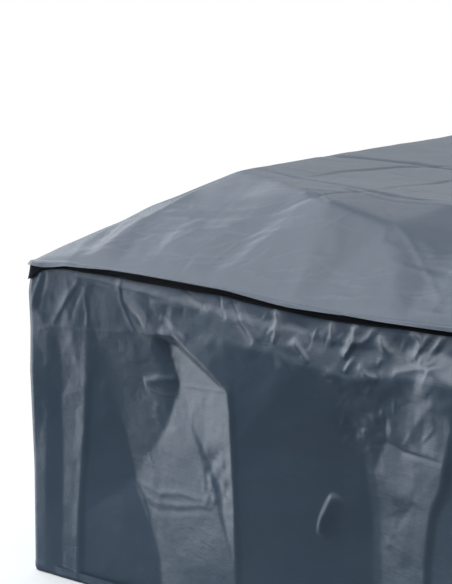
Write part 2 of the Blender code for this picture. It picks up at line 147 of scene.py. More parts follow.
# Creases pressed into the top: name, height, half width, lean (-1 to 1, the steeper side), line of
# (along, in).
TOP_CREASES = (
    ("swag under the shoulder", -0.0024, 0.0050, 0.0,
     ((0.667, 0.365), (0.645, 0.283), (0.630, 0.225), (0.567, 0.191), (0.514, 0.165), (0.456, 0.158),
      (0.370, 0.149), (0.288, 0.142), (0.197, 0.131))),
    ("roll over the swag", 0.0010, 0.0120, 0.0,
     ((0.640, 0.262), (0.560, 0.212), (0.500, 0.186), (0.440, 0.178), (0.350, 0.170), (0.270, 0.160))),
    ("diagonal from the crossing", 0.0017, 0.0045, 0.0,
     ((0.667, 0.365), (0.704, 0.325), (0.828, 0.218), (0.894, 0.179), (0.990, 0.113), (1.066, 0.047))),
    ("crease across, near", -0.0034, 0.0070, 0.0,
     ((0.335, 0.369), (0.444, 0.357), (0.557, 0.354), (0.667, 0.365), (0.805, 0.378), (0.900, 0.420))),
    ("crease back", -0.0032, 0.0060, 0.0,
     ((0.667, 0.365), (0.651, 0.457), (0.645, 0.578), (0.650, 0.720), (0.668, 0.900))),
    ("second crease across", -0.0040, 0.0080, 0.0,
     ((0.325, 0.617), (0.395, 0.689), (0.478, 0.749), (0.569, 0.786), (0.700, 0.815))),
    ("second crease back", -0.0034, 0.0060, 0.0,
     ((0.474, 0.379), (0.471, 0.533), (0.492, 0.691), (0.551, 0.812))),
    ("short crease at the crossing", -0.0026, 0.0060, 0.0,
     ((0.560, 0.300), (0.610, 0.330), (0.667, 0.365), (0.740, 0.360), (0.833, 0.407))),
    ("crease from the shoulder", 0.0015, 0.0035, 0.0, ((0.474, 0.238), (0.576, 0.253), (0.640, 0.290))),
    ("pucker below the shoulder", -0.0027, 0.0060, 0.0, ((0.592, 0.232), (0.632, 0.222), (0.668, 0.206))),
    ("faint crease, lower slope", 0.0015, 0.0040, 0.0,
     ((0.621, 0.141), (0.554, 0.126), (0.516, 0.107), (0.501, 0.079), (0.485, 0.042))),
    ("fold beside the hip", 0.0024, 0.0090, 0.0,
     ((0.300, 0.245), (0.265, 0.185), (0.235, 0.140), (0.215, 0.105))),
    ("far crease across", 0.0019, 0.0040, 0.0, ((1.060, 0.400), (1.300, 0.410), (1.690, 0.420))),
    ("far crease back", -0.0023, 0.0040, 0.0, ((1.000, 0.300), (1.005, 0.800), (1.000, 1.380))),
    ("far second crease back", 0.0019, 0.0040, 0.0, ((1.335, 0.060), (1.330, 0.800), (1.335, 1.540))),
    ("far crease along the back", -0.0023, 0.0040, 0.0, ((0.330, 1.060), (1.000, 1.070), (1.680, 1.060))),
)

# Flat facets of the crumpled coating: seed, size, height, where, how many times longer one way, and the
# turn of that way in degrees. The hidden walls share their rows, and each counts up from its own seed.
TOP_CRUMPLES = (
    (11, 0.170, 0.0024, "inside", 1.0, 0.0),
    (12, 0.024, 0.0016, "slope", 5.0, 14.0),
    (13, 0.040, 0.0012, "slope", 3.0, 28.0),
    (14, 0.050, 0.0012, "inside", 2.0, -35.0),
)
FRONT_CRUMPLES = (
    (21, 0.120, 0.0012, "hanging", 1.0, 0.0),
    (22, 0.028, 0.0022, "strip, right", 1.0, 0.0),
    (23, 0.044, 0.0016, "right", 1.0, 0.0),
    (27, 0.026, 0.0026, "blotchy", 2.0, -32.0),
    (28, 0.013, 0.0012, "blotchy, left", 1.0, 0.0),
    (29, 0.013, 0.0016, "foot of the streak", 1.0, 0.0),
    (24, 0.040, 0.0007, "left", 1.0, 0.0),
    (26, 0.030, 0.0008, "strip", 1.0, 0.0),
    (25, 0.018, 0.0003, "hanging", 1.0, 0.0),
)
HIDDEN_CRUMPLES = (
    (0.110, 0.0030, "hanging", 1.0, 0.0), (0.034, 0.0016, "strip", 1.0, 0.0),
    (0.024, 0.0005, "hanging", 1.0, 0.0),
)

# Small wrinkles of the top: seed, count, area (along from, to, in from, to), turn in degrees (mean,
# spread), longest, highest, half width.
TOP_WRINKLES = (
    (41, 46, (0.20, 1.10, 0.020, 0.175), (10.0, 9.0), 0.180, 0.0016, 0.0045),
    (42, 16, (0.30, 1.00, 0.060, 0.200), (38.0, 10.0), 0.110, 0.0014, 0.0045),
    (43, 12, (0.05, 0.26, 0.030, 0.230), (48.0, 8.0), 0.110, 0.0016, 0.0050),
    (44, 22, (0.35, 1.10, 0.230, 0.700), (4.0, 14.0), 0.220, 0.0018, 0.0055),
    (45, 10, (0.03, 0.25, 0.150, 0.900), (86.0, 8.0), 0.200, 0.0016, 0.0055),
)

# Corners where folds of the front meet: (along, depth, stand-out).
RIDGE_TOP = (0.056, 0.143, 0.005)
VALLEY_TOP = (0.100, 0.139, 0.005)
PLEAT_SOFT_TOP = (0.173, 0.138, 0.006)
PLEAT_SHARP_TOP = (0.183, 0.137, 0.006)
SLIT_FOOT = (0.322, 0.123, 0.006)
WEDGE_TOP_LEFT = (0.407, 0.130, -0.006)
WEDGE_TOP_RIGHT = (0.446, 0.112, 0.023)
KITE_TOP_LEFT = (0.438, 0.217, -0.008)
KITE_TOP_RIGHT = (0.612, 0.195, 0.042)
KITE_LOWER_LEFT = (0.290, 0.445, -0.030)
STREAK_TOP = (0.475, 0.283, 0.004)
FLAT_PANEL_TOP = (0.893, 0.126, 0.031)
FACET_TOP_LEFT = (0.995, 0.108, 0.034)
FACET_LEFT = (0.981, 0.237, 0.014)
FACET_RIGHT = (1.156, 0.240, 0.064)
FACET_TOP_RIGHT = (1.165, 0.096, 0.056)

# Folds of the front panel from the binding down: name, then points of (along, depth, stand-out).
FRONT_FOLDS = (
    ("ridge by the corner", (0.055, 0.059, 0.002), RIDGE_TOP, (0.054, 0.163, 0.004),
     (0.054, 0.230, 0.003), (0.051, 0.315, 0.001), (0.048, 0.430, 0.002), (0.044, 0.568, 0.003),
     (0.040, 0.700, 0.002)),
    ("valley by the corner", VALLEY_TOP, (0.095, 0.180, 0.000), (0.096, 0.240, -0.003),
     (0.092, 0.305, -0.005), (0.091, 0.415, -0.006), (0.089, 0.552, -0.005), (0.087, 0.700, -0.004)),
    ("pleat, soft side", PLEAT_SOFT_TOP, (0.152, 0.233, 0.000), (0.140, 0.310, -0.003),
     (0.127, 0.422, -0.004), (0.120, 0.560, -0.003), (0.114, 0.700, -0.002)),
    ("pleat, sharp edge", PLEAT_SHARP_TOP, (0.177, 0.195, 0.004), (0.170, 0.274, 0.000),
     (0.166, 0.352, 0.000), (0.152, 0.467, -0.002), (0.145, 0.547, 0.000), (0.137, 0.700, 0.000)),
    ("behind the pleat", (0.191, 0.215, 0.001), (0.183, 0.273, -0.004), (0.177, 0.352, -0.006),
     (0.163, 0.467, -0.008), (0.155, 0.547, -0.007), (0.150, 0.700, -0.006)),
    ("bottom of the dark slope", (0.233, 0.217, -0.005), (0.259, 0.305, -0.014), (0.271, 0.351, -0.020),
     (0.280, 0.394, -0.026), KITE_LOWER_LEFT),
    ("crease along, left", (0.007, 0.153, 0.003), RIDGE_TOP, (0.069, 0.141, 0.005), VALLEY_TOP,
     (0.136, 0.137, 0.006), PLEAT_SOFT_TOP, PLEAT_SHARP_TOP, (0.203, 0.138, 0.004), SLIT_FOOT,
     (0.391, 0.120, 0.013), (0.419, 0.117, 0.018), WEDGE_TOP_RIGHT),
    ("right of the slit", (0.380, 0.129, 0.008), (0.402, 0.160, -0.002), (0.420, 0.191, -0.006),
     KITE_TOP_LEFT),
    ("under the slit", (0.282, 0.041, 0.003), (0.306, 0.096, 0.005), SLIT_FOOT, (0.365, 0.157, 0.003),
     (0.395, 0.189, -0.002), KITE_TOP_LEFT),
    ("kite, left edge", WEDGE_TOP_LEFT, (0.415, 0.157, -0.007), KITE_TOP_LEFT, (0.429, 0.246, -0.008),
     (0.401, 0.309, -0.010), (0.348, 0.376, -0.018), KITE_LOWER_LEFT, (0.320, 0.485, -0.025),
     (0.355, 0.516, -0.019), (0.371, 0.604, -0.017), (0.381, 0.700, -0.015)),
    ("kite, beside its left edge", (0.458, 0.236, -0.003), (0.444, 0.253, -0.004), (0.415, 0.312, -0.006),
     (0.365, 0.380, -0.015), (0.311, 0.445, -0.026), (0.344, 0.479, -0.019), (0.377, 0.514, -0.013),
     (0.395, 0.602, -0.011), (0.407, 0.700, -0.008)),
    ("wedge, right edge", WEDGE_TOP_LEFT, (0.428, 0.133, -0.004), (0.459, 0.144, 0.003),
     (0.531, 0.170, 0.020), KITE_TOP_RIGHT),
    ("panel edge over the wedge", WEDGE_TOP_RIGHT, (0.482, 0.132, 0.028), (0.545, 0.162, 0.036),
     KITE_TOP_RIGHT),
    ("kite, top crease", KITE_TOP_LEFT, (0.540, 0.204, 0.020), KITE_TOP_RIGHT),
    ("kite, right edge", KITE_TOP_RIGHT, (0.622, 0.234, 0.045), (0.628, 0.295, 0.047),
     (0.633, 0.367, 0.048), (0.636, 0.429, 0.048), (0.638, 0.560, 0.045), (0.638, 0.700, 0.041)),
    ("streak, left side", STREAK_TOP, (0.509, 0.332, 0.015), (0.529, 0.368, 0.018), (0.561, 0.404, 0.027),
     (0.572, 0.445, 0.029)),
    ("streak, right side", STREAK_TOP, (0.523, 0.327, 0.015), (0.544, 0.358, 0.017),
     (0.577, 0.388, 0.026), (0.592, 0.420, 0.030), (0.590, 0.455, 0.030)),
    ("behind the kite", (0.617, 0.185, 0.038), (0.625, 0.236, 0.040), (0.631, 0.297, 0.041),
     (0.637, 0.369, 0.042), (0.640, 0.431, 0.042), (0.643, 0.562, 0.039), (0.643, 0.700, 0.035)),
    ("crease along, right", WEDGE_TOP_RIGHT, (0.513, 0.110, 0.028), (0.598, 0.099, 0.033),
     (0.669, 0.099, 0.033), (0.715, 0.101, 0.033), (0.791, 0.110, 0.034), (0.866, 0.114, 0.035),
     FLAT_PANEL_TOP, (0.935, 0.117, 0.032), FACET_TOP_LEFT, (1.058, 0.101, 0.041), (1.114, 0.099, 0.050),
     FACET_TOP_RIGHT),
    ("flat panel, right edge", FLAT_PANEL_TOP, (0.897, 0.176, 0.020), (0.931, 0.294, 0.003),
     (0.942, 0.394, -0.003), (0.950, 0.700, -0.005)),
    ("blotchy part, soft turn", (0.932, 0.142, 0.027), (0.935, 0.196, 0.019), (0.956, 0.294, 0.008),
     (0.966, 0.392, 0.001), (0.975, 0.700, -0.001)),
    ("right facet, left edge", FACET_TOP_LEFT, (0.985, 0.171, 0.026), FACET_LEFT),
    ("right facet, top", FACET_LEFT, (1.035, 0.244, 0.029), FACET_RIGHT),
    ("right facet, right edge", FACET_TOP_RIGHT, (1.167, 0.169, 0.063), FACET_RIGHT,
     (1.144, 0.293, 0.061), (1.118, 0.347, 0.055), (1.102, 0.443, 0.047), (1.097, 0.700, 0.040)),
    ("behind the right facet", (1.170, 0.240, 0.058), (1.159, 0.294, 0.056), (1.128, 0.349, 0.049),
     (1.110, 0.447, 0.041), (1.105, 0.700, 0.034)),
    ("slack under the binding", (0.102, 0.060, 0.002), (0.178, 0.061, 0.002), (0.238, 0.061, 0.003)),
    ("slack under the binding, middle", (0.342, 0.060, 0.009), (0.431, 0.050, 0.012),
     (0.515, 0.050, 0.015), (0.650, 0.053, 0.017), (0.775, 0.056, 0.015), (0.897, 0.059, 0.010),
     (1.013, 0.053, 0.012)),
    ("beyond the facet", (1.225, 0.250, 0.066), (1.205, 0.355, 0.060), (1.188, 0.450, 0.054),
     (1.183, 0.700, 0.048)),
    ("plain valley", (1.300, 0.140, 0.014), (1.310, 0.380, 0.004), (1.320, 0.700, 0.000)),
    ("plain ridge", (1.500, 0.130, 0.024), (1.480, 0.380, 0.030), (1.470, 0.700, 0.030)),
    ("far valley", (1.760, 0.130, 0.008), (1.740, 0.380, -0.006), (1.720, 0.700, -0.010)),
    ("far ridge", (1.900, 0.130, 0.010), (1.890, 0.380, 0.014), (1.870, 0.700, 0.014)),
    ("slack under the binding, far", (1.300, 0.055, 0.012), (1.500, 0.055, 0.012), (1.850, 0.055, 0.006)),
)

# Creases and crumples of the front panel: name, height, half width, lean, line of (along, depth).
FRONT_CREASES = (
    ("slit from the binding", 0.0016, 0.0045, 0.5,
     ((0.278, 0.012), (0.283, 0.061), (0.303, 0.096), (0.325, 0.123))),
    ("lens beside the slit", -0.0016, 0.0060, 0.0, ((0.296, 0.072), (0.327, 0.089), (0.351, 0.109))),
    ("leaf dent", 0.0050, 0.0120, 0.4, ((0.338, 0.227), (0.384, 0.213), (0.432, 0.207))),
    ("leaf dent, lower edge", 0.0012, 0.0035, 0.0, ((0.349, 0.240), (0.389, 0.246), (0.431, 0.240))),
    ("foot fold", 0.0016, 0.0060, 0.3,
     ((0.295, 0.451), (0.376, 0.459), (0.446, 0.442), (0.497, 0.440), (0.568, 0.432))),
    ("edge of the foot fold", 0.0012, 0.0045, 0.3,
     ((0.306, 0.469), (0.355, 0.484), (0.447, 0.469), (0.532, 0.448), (0.572, 0.431))),
    ("under the foot fold", -0.0010, 0.0060, 0.0,
     ((0.317, 0.495), (0.375, 0.500), (0.446, 0.484), (0.506, 0.467), (0.571, 0.451))),
    ("left of the foot fold", 0.0016, 0.0050, 0.0, ((0.294, 0.457), (0.318, 0.487), (0.339, 0.526))),
    ("packing crease, left", 0.0010, 0.0030, 0.0,
     ((0.004, 0.154), (0.069, 0.141), (0.124, 0.137), (0.183, 0.137), (0.325, 0.123))),
    ("diagonal near the corner", 0.0024, 0.0080, 0.4, ((0.161, 0.030), (0.115, 0.088), (0.077, 0.137))),
    ("second diagonal", -0.0009, 0.0055, 0.0, ((0.174, 0.040), (0.151, 0.080), (0.130, 0.129))),
    ("fold down from the diagonal", 0.0012, 0.0040, 0.0, ((0.174, 0.061), (0.183, 0.100), (0.183, 0.136))),
    ("tuck at the corner", 0.0018, 0.0060, 0.0, ((0.043, 0.020), (0.024, 0.070), (0.010, 0.110))),
    ("tuck beside it", -0.0012, 0.0055, 0.0, ((0.056, 0.024), (0.044, 0.069), (0.033, 0.109))),
    ("wrinkle 1", 0.0024, 0.0080, 0.5, ((0.373, 0.052), (0.421, 0.050), (0.466, 0.055))),
    ("wrinkle 2", -0.0036, 0.0042, 0.3, ((0.451, 0.018), (0.491, 0.032), (0.524, 0.044))),
    ("wrinkle 3", -0.0038, 0.0042, 0.3, ((0.553, 0.016), (0.563, 0.040), (0.586, 0.055))),
    ("wrinkle 4", -0.0046, 0.0055, 0.4, ((0.586, 0.022), (0.626, 0.061), (0.666, 0.089))),
    ("wrinkle 4, lip", 0.0026, 0.0042, 0.0, ((0.606, 0.022), (0.646, 0.056), (0.679, 0.080))),
    ("loop over the wedge", 0.0014, 0.0040, 0.0,
     ((0.402, 0.078), (0.423, 0.078), (0.457, 0.094), (0.490, 0.104))),
    ("loop, hollow", -0.0016, 0.0045, 0.0, ((0.406, 0.089), (0.437, 0.101), (0.478, 0.109))),
    ("fold 1", 0.0060, 0.0065, 0.5, ((0.703, 0.016), (0.712, 0.031), (0.722, 0.059), (0.718, 0.080))),
    ("fold 2", 0.0050, 0.0065, 0.5, ((0.759, 0.063), (0.782, 0.079), (0.809, 0.101))),
    ("fold 3", 0.0045, 0.0050, 0.5, ((0.843, 0.018), (0.853, 0.045), (0.853, 0.065))),
    ("fold 4", 0.0085, 0.0070, 0.5, ((0.902, 0.018), (0.906, 0.051), (0.889, 0.083))),
    ("fold 5", 0.0036, 0.0055, 0.3, ((0.948, 0.020), (0.936, 0.041), (0.918, 0.053))),
    ("fold 6", 0.0046, 0.0065, 0.4, ((0.960, 0.032), (0.976, 0.049), (0.998, 0.064))),
    ("fold 7", 0.0036, 0.0055, 0.3, ((0.913, 0.081), (0.903, 0.094), (0.896, 0.109))),
    ("fold 8", 0.0036, 0.0055, 0.3, ((0.927, 0.089), (0.951, 0.107), (0.977, 0.111))),
    ("fold 9", 0.0046, 0.0065, 0.4, ((1.029, 0.016), (1.052, 0.030), (1.064, 0.053))),
    ("fold 10", 0.0050, 0.0065, 0.4, ((1.075, 0.018), (1.058, 0.051), (1.051, 0.065))),
    ("fold 11", 0.0050, 0.0065, 0.4, ((1.109, 0.018), (1.087, 0.052), (1.083, 0.065))),
    ("fold 12", 0.0044, 0.0060, 0.4, ((1.011, 0.094), (1.057, 0.081), (1.135, 0.068))),
    ("dark hollow, right", -0.0050, 0.0160, 0.0, ((0.990, 0.041), (1.036, 0.073), (1.091, 0.092))),
    ("dark hollow, middle", -0.0050, 0.0180, 0.0, ((0.729, 0.036), (0.788, 0.047), (0.837, 0.061))),
    ("edge along the top of the kite", 0.0012, 0.0030, 0.0,
     ((0.441, 0.217), (0.540, 0.205), (0.610, 0.195))),
    ("edge of the wedge", 0.0010, 0.0030, 0.0,
     ((0.432, 0.127), (0.470, 0.138), (0.536, 0.166), (0.608, 0.192))),
    ("fold down the right facet", 0.0018, 0.0040, 0.0, ((0.985, 0.161), (0.983, 0.197), (0.982, 0.233))),
    ("fold across the right facet", -0.0024, 0.0042, 0.0, ((0.978, 0.230), (1.035, 0.244), (1.148, 0.241))),
    ("scratch", 0.0014, 0.0035, 0.0, ((0.852, 0.364), (0.841, 0.388), (0.833, 0.410))),
    ("rise at the foot, right of the kite", 0.0150, 0.0120, 0.5,
     ((0.827, 0.449), (0.837, 0.413), (0.849, 0.387), (0.861, 0.358))),
)

# Upright folds of the hidden panels: (along, lean to the hem, stand-out at the hem).
BACK_FOLDS = (
    (0.18, -0.03, 0.016), (0.36, 0.02, -0.012), (0.60, -0.02, 0.022), (0.84, 0.03, -0.010),
    (1.06, 0.02, 0.018), (1.30, -0.03, -0.012), (1.55, 0.03, 0.020), (1.80, -0.02, -0.010),
)
LEFT_FOLDS = ((0.20, 0.02, -0.010), (0.42, -0.02, 0.020), (0.70, 0.03, -0.012), (0.98, 0.02, 0.018),
              (1.26, -0.02, -0.010), (1.42, 0.01, 0.010))
RIGHT_FOLDS = ((0.16, -0.02, 0.012), (0.40, 0.03, -0.012), (0.66, -0.02, 0.022), (0.92, 0.02, -0.010),
               (1.18, -0.03, 0.018), (1.42, 0.01, -0.008))
CREASE_DEPTH = 0.135                     # their upper ends, at the crease round the top
CREASE_SHARE = 0.45                      # and the share of their stand-out there

# Small wrinkles of the front, as for the top but with depth for in.
FRONT_WRINKLES = (
    (81, 14, (0.55, 1.12, 0.030, 0.095), (-60.0, 26.0), 0.040, 0.0022, 0.0036),
    (82, 18, (0.84, 0.97, 0.095, 0.132), (-50.0, 30.0), 0.020, 0.0018, 0.0028),
    (83, 14, (0.05, 0.30, 0.150, 0.260), (-70.0, 12.0), 0.060, 0.0004, 0.0040),
    (84, 12, (0.30, 0.44, 0.160, 0.330), (-20.0, 16.0), 0.050, 0.0010, 0.0038),
    (85, 16, (0.88, 1.12, 0.140, 0.260), (-40.0, 20.0), 0.060, 0.0014, 0.0034),
    (86, 10, (0.98, 1.10, 0.260, 0.460), (-25.0, 20.0), 0.050, 0.0008, 0.0040),
    (87, 8, (0.32, 0.38, 0.230, 0.400), (40.0, 14.0), 0.040, 0.0010, 0.0036),
)

# Rise and fall of the binding line, (place, height), and how far the top's edge droops over the tape.
FRONT_EDGE = (
    (0.00, 0.000), (0.12, 0.012), (0.34, 0.012), (0.56, 0.008), (0.69, 0.001), (0.86, -0.005),
    (1.12, 0.004), (1.45, 0.009), (1.75, 0.003), (2.00, 0.000),
)
BACK_EDGE = ((0.00, 0.000), (0.40, 0.009), (0.95, -0.006), (1.50, 0.010), (2.00, 0.000))
LEFT_EDGE = ((0.00, 0.000), (0.30, 0.006), (0.80, -0.004), (1.25, 0.008), (1.60, 0.000))
RIGHT_EDGE = ((0.00, 0.000), (0.35, 0.008), (0.85, -0.003), (1.30, 0.006), (1.60, 0.000))
FRONT_DROOP = (
    (0.000, 0.0060), (0.050, 0.0120), (0.080, 0.0115), (0.120, 0.0085), (0.190, 0.0055), (0.250, 0.0022),
    (0.580, 0.0022), (0.660, 0.0048), (0.740, 0.0070), (0.820, 0.0040), (0.870, 0.0018), (0.960, 0.0056),
    (1.060, 0.0076), (1.150, 0.0090), (1.400, 0.0050), (1.700, 0.0030), (2.000, 0.0040),
)
OTHER_DROOP = 0.002

# Stand-out of the front left corner: (depth, out).
CORNER_STAND = (
    (0.020, 0.000), (0.063, 0.007), (0.150, 0.005), (0.244, 0.007), (0.472, 0.001), (0.700, 0.002),
)


# Height maps ---------------------------------------------------------------------------------------

class HeightMap:
    """Heights over a flat rectangle of cloth on an even lattice, shaped by folds and creases."""

    def __init__(self, length, width):
        """A flat cloth of this size, with no wear."""
        self.xs = np.linspace(0.0, length, round(length / LATTICE) + 1)
        self.ys = np.linspace(0.0, width, round(width / LATTICE) + 1)
        self.x, self.y = np.meshgrid(self.xs, self.ys)
        self.z = np.zeros_like(self.x)
        self.wear = np.zeros_like(self.x)

    def block(self, low_x, high_x, low_y, high_y):
        """Slices of the lattice that cover a rectangle."""
        i = np.searchsorted(self.xs, (low_x, high_x)) + (-1, 1)
        j = np.searchsorted(self.ys, (low_y, high_y)) + (-1, 1)
        i = np.clip(i, 0, len(self.xs))
        j = np.clip(j, 0, len(self.ys))
        return slice(j[0], j[1]), slice(i[0], i[1])

    def stretch(self, triangles):
        """Flat facets: each triangle of (x, y, value) corners fills the lattice points inside it."""
        for a, b, c in triangles:
            area = (b[0] - a[0]) * (c[1] - a[1]) - (c[0] - a[0]) * (b[1] - a[1])
            if abs(area) < 1e-9:
                continue
            xs, ys = (a[0], b[0], c[0]), (a[1], b[1], c[1])
            part = self.block(min(xs), max(xs), min(ys), max(ys))
            x, y = self.x[part] - a[0], self.y[part] - a[1]
            to_b = (x * (c[1] - a[1]) - (c[0] - a[0]) * y) / area
            to_c = ((b[0] - a[0]) * y - x * (b[1] - a[1])) / area
            inside = (to_b > -1e-6) & (to_c > -1e-6) & (to_b + to_c < 1.0 + 1e-6)
            value = a[2] + to_b * (b[2] - a[2]) + to_c * (c[2] - a[2])
            self.z[part] = np.where(inside, value, self.z[part])

    def soften(self, width, mask=1.0):
        """Rounds the folds by a bell-shaped blur of the given width, where the mask is set."""
        sharp = self.z
        reach = max(1, round(3 * width / LATTICE))
        bell = np.exp(-0.5 * (np.arange(-reach, reach + 1) * LATTICE / width) ** 2)
        bell /= bell.sum()
        for axis in (0, 1):
            pad = [(0, 0), (0, 0)]
            pad[axis] = (reach, reach)
            padded = np.pad(self.z, pad, mode="reflect", reflect_type="odd")
            size = self.z.shape[axis]
            self.z = sum(weight * np.take(padded, range(i, i + size), axis=axis)
                         for i, weight in enumerate(bell))
        self.z = sharp + mask * (self.z - sharp)

    def crease(self, height, width, lean, line):
        """A soft ridge, or a trough below zero, along a line, fading out at its ends."""
        reach = width * 5
        line = np.array(line)
        part = self.block(line[:, 0].min() - reach, line[:, 0].max() + reach,
                          line[:, 1].min() - reach, line[:, 1].max() + reach)
        x, y = self.x[part], self.y[part]
        best = np.full(x.shape, np.inf)
        side = np.zeros(x.shape)
        run = np.zeros(x.shape)
        lengths = np.hypot(*np.diff(line, axis=0).T)
        before = np.concatenate(([0.0], np.cumsum(lengths)))
        for (ax, ay), (bx, by), length, start in zip(line, line[1:], lengths, before):
            share = np.clip(((x - ax) * (bx - ax) + (y - ay) * (by - ay)) / length ** 2, 0.0, 1.0)
            away = np.hypot(x - ax - share * (bx - ax), y - ay - share * (by - ay))
            nearer = away < best
            best = np.where(nearer, away, best)
            side = np.where(nearer, np.sign((bx - ax) * (y - ay) - (by - ay) * (x - ax)), side)
            run = np.where(nearer, (start + share * length) / before[-1], run)
        fade = np.sqrt(np.clip(4.0 * run * (1.0 - run), 0.0, 1.0))
        wide = width * (1.0 + lean * side)
        bump = np.exp(-(best / wide) ** 1.5) * fade
        self.z[part] += height * bump
        self.wear[part] = np.maximum(self.wear[part], np.exp(-(best / RUB_WIDTH) ** 2) * fade)

    def crumple(self, seed, cell, height, mask, longer, turn):
        """Small flat facets with random heights, as coated cloth crumples, where the mask is set.

        The facets are so many times longer one way, and that way is turned by so many degrees.
        """
        rng = random.Random(seed)
        cos, sin = math.cos(math.radians(turn)), math.sin(math.radians(turn))
        across = self.xs[-1] + 2 * cell * longer
        down = self.ys[-1] + 2 * cell * longer
        reach = math.hypot(across, down)
        points = []
        count_x = math.ceil(2 * reach / (cell * longer))
        count_y = math.ceil(2 * reach / cell)
        for i in range(count_x):
            for j in range(count_y):
                u = (i + rng.uniform(-UNEVEN, UNEVEN)) * cell * longer - reach
                v = (j + 0.5 * (i % 2) + rng.uniform(-UNEVEN, UNEVEN)) * cell - reach
                value = rng.uniform(-1.0, 1.0)
                x, y = u * cos - v * sin, u * sin + v * cos
                if -cell * longer < x < across and -cell * longer < y < down:
                    points.append((x, y, value))
        flat = [Vector(point[:2]) for point in points]
        _, _, faces, sources, _, _ = delaunay_2d_cdt(flat, [], [], 0, 1e-6)
        kept = self.z
        self.z = np.zeros_like(kept)
        self.stretch([[points[sources[i][0]] for i in face] for face in faces])
        self.z = kept + height * mask * self.z

    def zone(self, low_x, high_x, low_y, high_y, fade):
        """1 inside a rectangle, 0 outside, smooth between."""
        parts = []
        for values, low, high in ((self.x, low_x, high_x), (self.y, low_y, high_y)):
            above = ramp(values, low - fade, low + fade)
            parts.append(above * (1.0 - ramp(values, high - fade, high + fade)))
        return parts[0] * parts[1]

    def wrinkles(self, seed, count, area, turn, length, height, width):
        """Short fine creases at random places in an area (low x, high x, low y, high y)."""
        rng = random.Random(seed)
        for _ in range(count):
            x, y = rng.uniform(area[0], area[1]), rng.uniform(area[2], area[3])
            angle = math.radians(rng.gauss(*turn))
            half = length * rng.uniform(0.3, 1.0) / 2
            bend = rng.uniform(-0.12, 0.12) * half
            cos, sin = math.cos(angle), math.sin(angle)
            line = ((x - half * cos, y - half * sin), (x - bend * sin, y + bend * cos),
                    (x + half * cos, y + half * sin))
            lean = rng.uniform(-0.5, 0.5)
            self.crease(height * rng.uniform(0.3, 1.0) * rng.choice((1.0, 1.0, -0.8)),
                        width * rng.uniform(0.7, 1.4), lean, line)

    def detail(self, crumples, places, rounding, creases, wrinkles):
        """Adds the small forms: crumples in their places, rounded, then creases and fine wrinkles."""
        for seed, cell, height, where, longer, turn in crumples:
            self.crumple(seed, cell, height, places[where], longer, turn)
        self.soften(rounding)
        for _, height, width, lean, line in creases:
            self.crease(height, width, lean, line)
        for row in wrinkles:
            self.wrinkles(*row)

    def at(self, x, y, values=None):
        """Heights, or other lattice values, at any places, by straight-line blending."""
        values = self.z if values is None else values
        fx = np.clip(np.asarray(x) / (self.xs[1] - self.xs[0]), 0, len(self.xs) - 1.001)
        fy = np.clip(np.asarray(y) / (self.ys[1] - self.ys[0]), 0, len(self.ys) - 1.001)
        i, j = fx.astype(int), fy.astype(int)
        fx, fy = fx - i, fy - j
        upper = values[j, i] * (1 - fx) + values[j, i + 1] * fx
        lower = values[j + 1, i] * (1 - fx) + values[j + 1, i + 1] * fx
        return upper * (1 - fy) + lower * fy


def ramp(values, low, high):
    """0 below low, 1 above high, smooth between."""
    share = np.clip((values - low) / (high - low), 0.0, 1.0)
    return share * share * (3.0 - 2.0 * share)


def facets(lines):
    """Triangles of (x, y, value) corners between fold lines, which stay edges."""
    corners = [corner for line in lines for corner in line]
    edges = []
    first = 0
    for line in lines:
        edges += [(i, i + 1) for i in range(first, first + len(line) - 1)]
        first += len(line)
    flat = [Vector(corner[:2]) for corner in corners]
    _, _, faces, sources, _, _ = delaunay_2d_cdt(flat, edges, [], 0, 1e-5)
    if not all(sources):
        raise ValueError("two fold lines cross without a shared point")
    return [[corners[sources[i][0]] for i in face] for face in faces]


def interpolate(rows, places):
    """Straight-line values between rows of (place, value)."""
    table = np.array(rows)
    return np.interp(places, table[:, 0], table[:, 1])


def edge_height(along, inward):
    """Height of the binding line at the edge nearest to each place on the top."""
    distances = np.stack((inward, WIDTH - inward, along, LENGTH - along))
    heights = np.stack((interpolate(FRONT_EDGE, along), interpolate(BACK_EDGE, along),
                        interpolate(LEFT_EDGE, inward), interpolate(RIGHT_EDGE, inward)))
    return np.take_along_axis(heights, distances.argmin(axis=0)[None], axis=0)[0]


def wall_height(x, y, depth):
    """Heights on the walls: the rise and fall of the binding line fades out towards the hem."""
    return edge_height(x, y) * (1.0 - depth / SKIRT) - depth


def from_edge(x, y):
    """Distance in from the nearest edge of the top."""
    return np.minimum(np.minimum(x, LENGTH - x), np.minimum(y, WIDTH - y))


def graded(zones):
    """Places from rows of (start, end, spacing)."""
    places = [zones[0][0]]
    for start, end, spacing in zones:
        count = max(1, round((end - start) / spacing))
        places += [start + (end - start) * i / count for i in range(1, count + 1)]
    return np.array(places)


# Height maps of the pieces -------------------------------------------------------------------------

def top_border(along=8, inward=6):
    """The top's outline at the binding line, in this many steps along and in."""
    border = [(LENGTH * i / along, 0.0, 0.0) for i in range(along + 1)]
    border += [(LENGTH, WIDTH * i / inward, 0.0) for i in range(1, inward + 1)]
    border += [(LENGTH * (along - i) / along, WIDTH, 0.0) for i in range(1, along + 1)]
    border += [(0.0, WIDTH * (inward - i) / inward, 0.0) for i in range(1, inward + 1)]
    return border


def top_map():
    """The top panel's drape."""
    cloth = HeightMap(LENGTH, WIDTH)
    cloth.stretch(facets([row[1:] for row in TOP_FOLDS] + [top_border()]))
    cloth.soften(0.010)
    edge = from_edge(cloth.x, cloth.y)
    places = {
        "inside": ramp(edge, 0.012, 0.060),
        "slope": ramp(edge, 0.008, 0.030) * (1.0 - ramp(edge, 0.17, 0.24)),
    }
    cloth.detail(TOP_CRUMPLES, places, 0.0032, TOP_CREASES, TOP_WRINKLES)
    cloth.z += edge_height(cloth.x, cloth.y) * np.clip(1.0 - edge / EDGE_FADE, 0.0, 1.0)
    return cloth


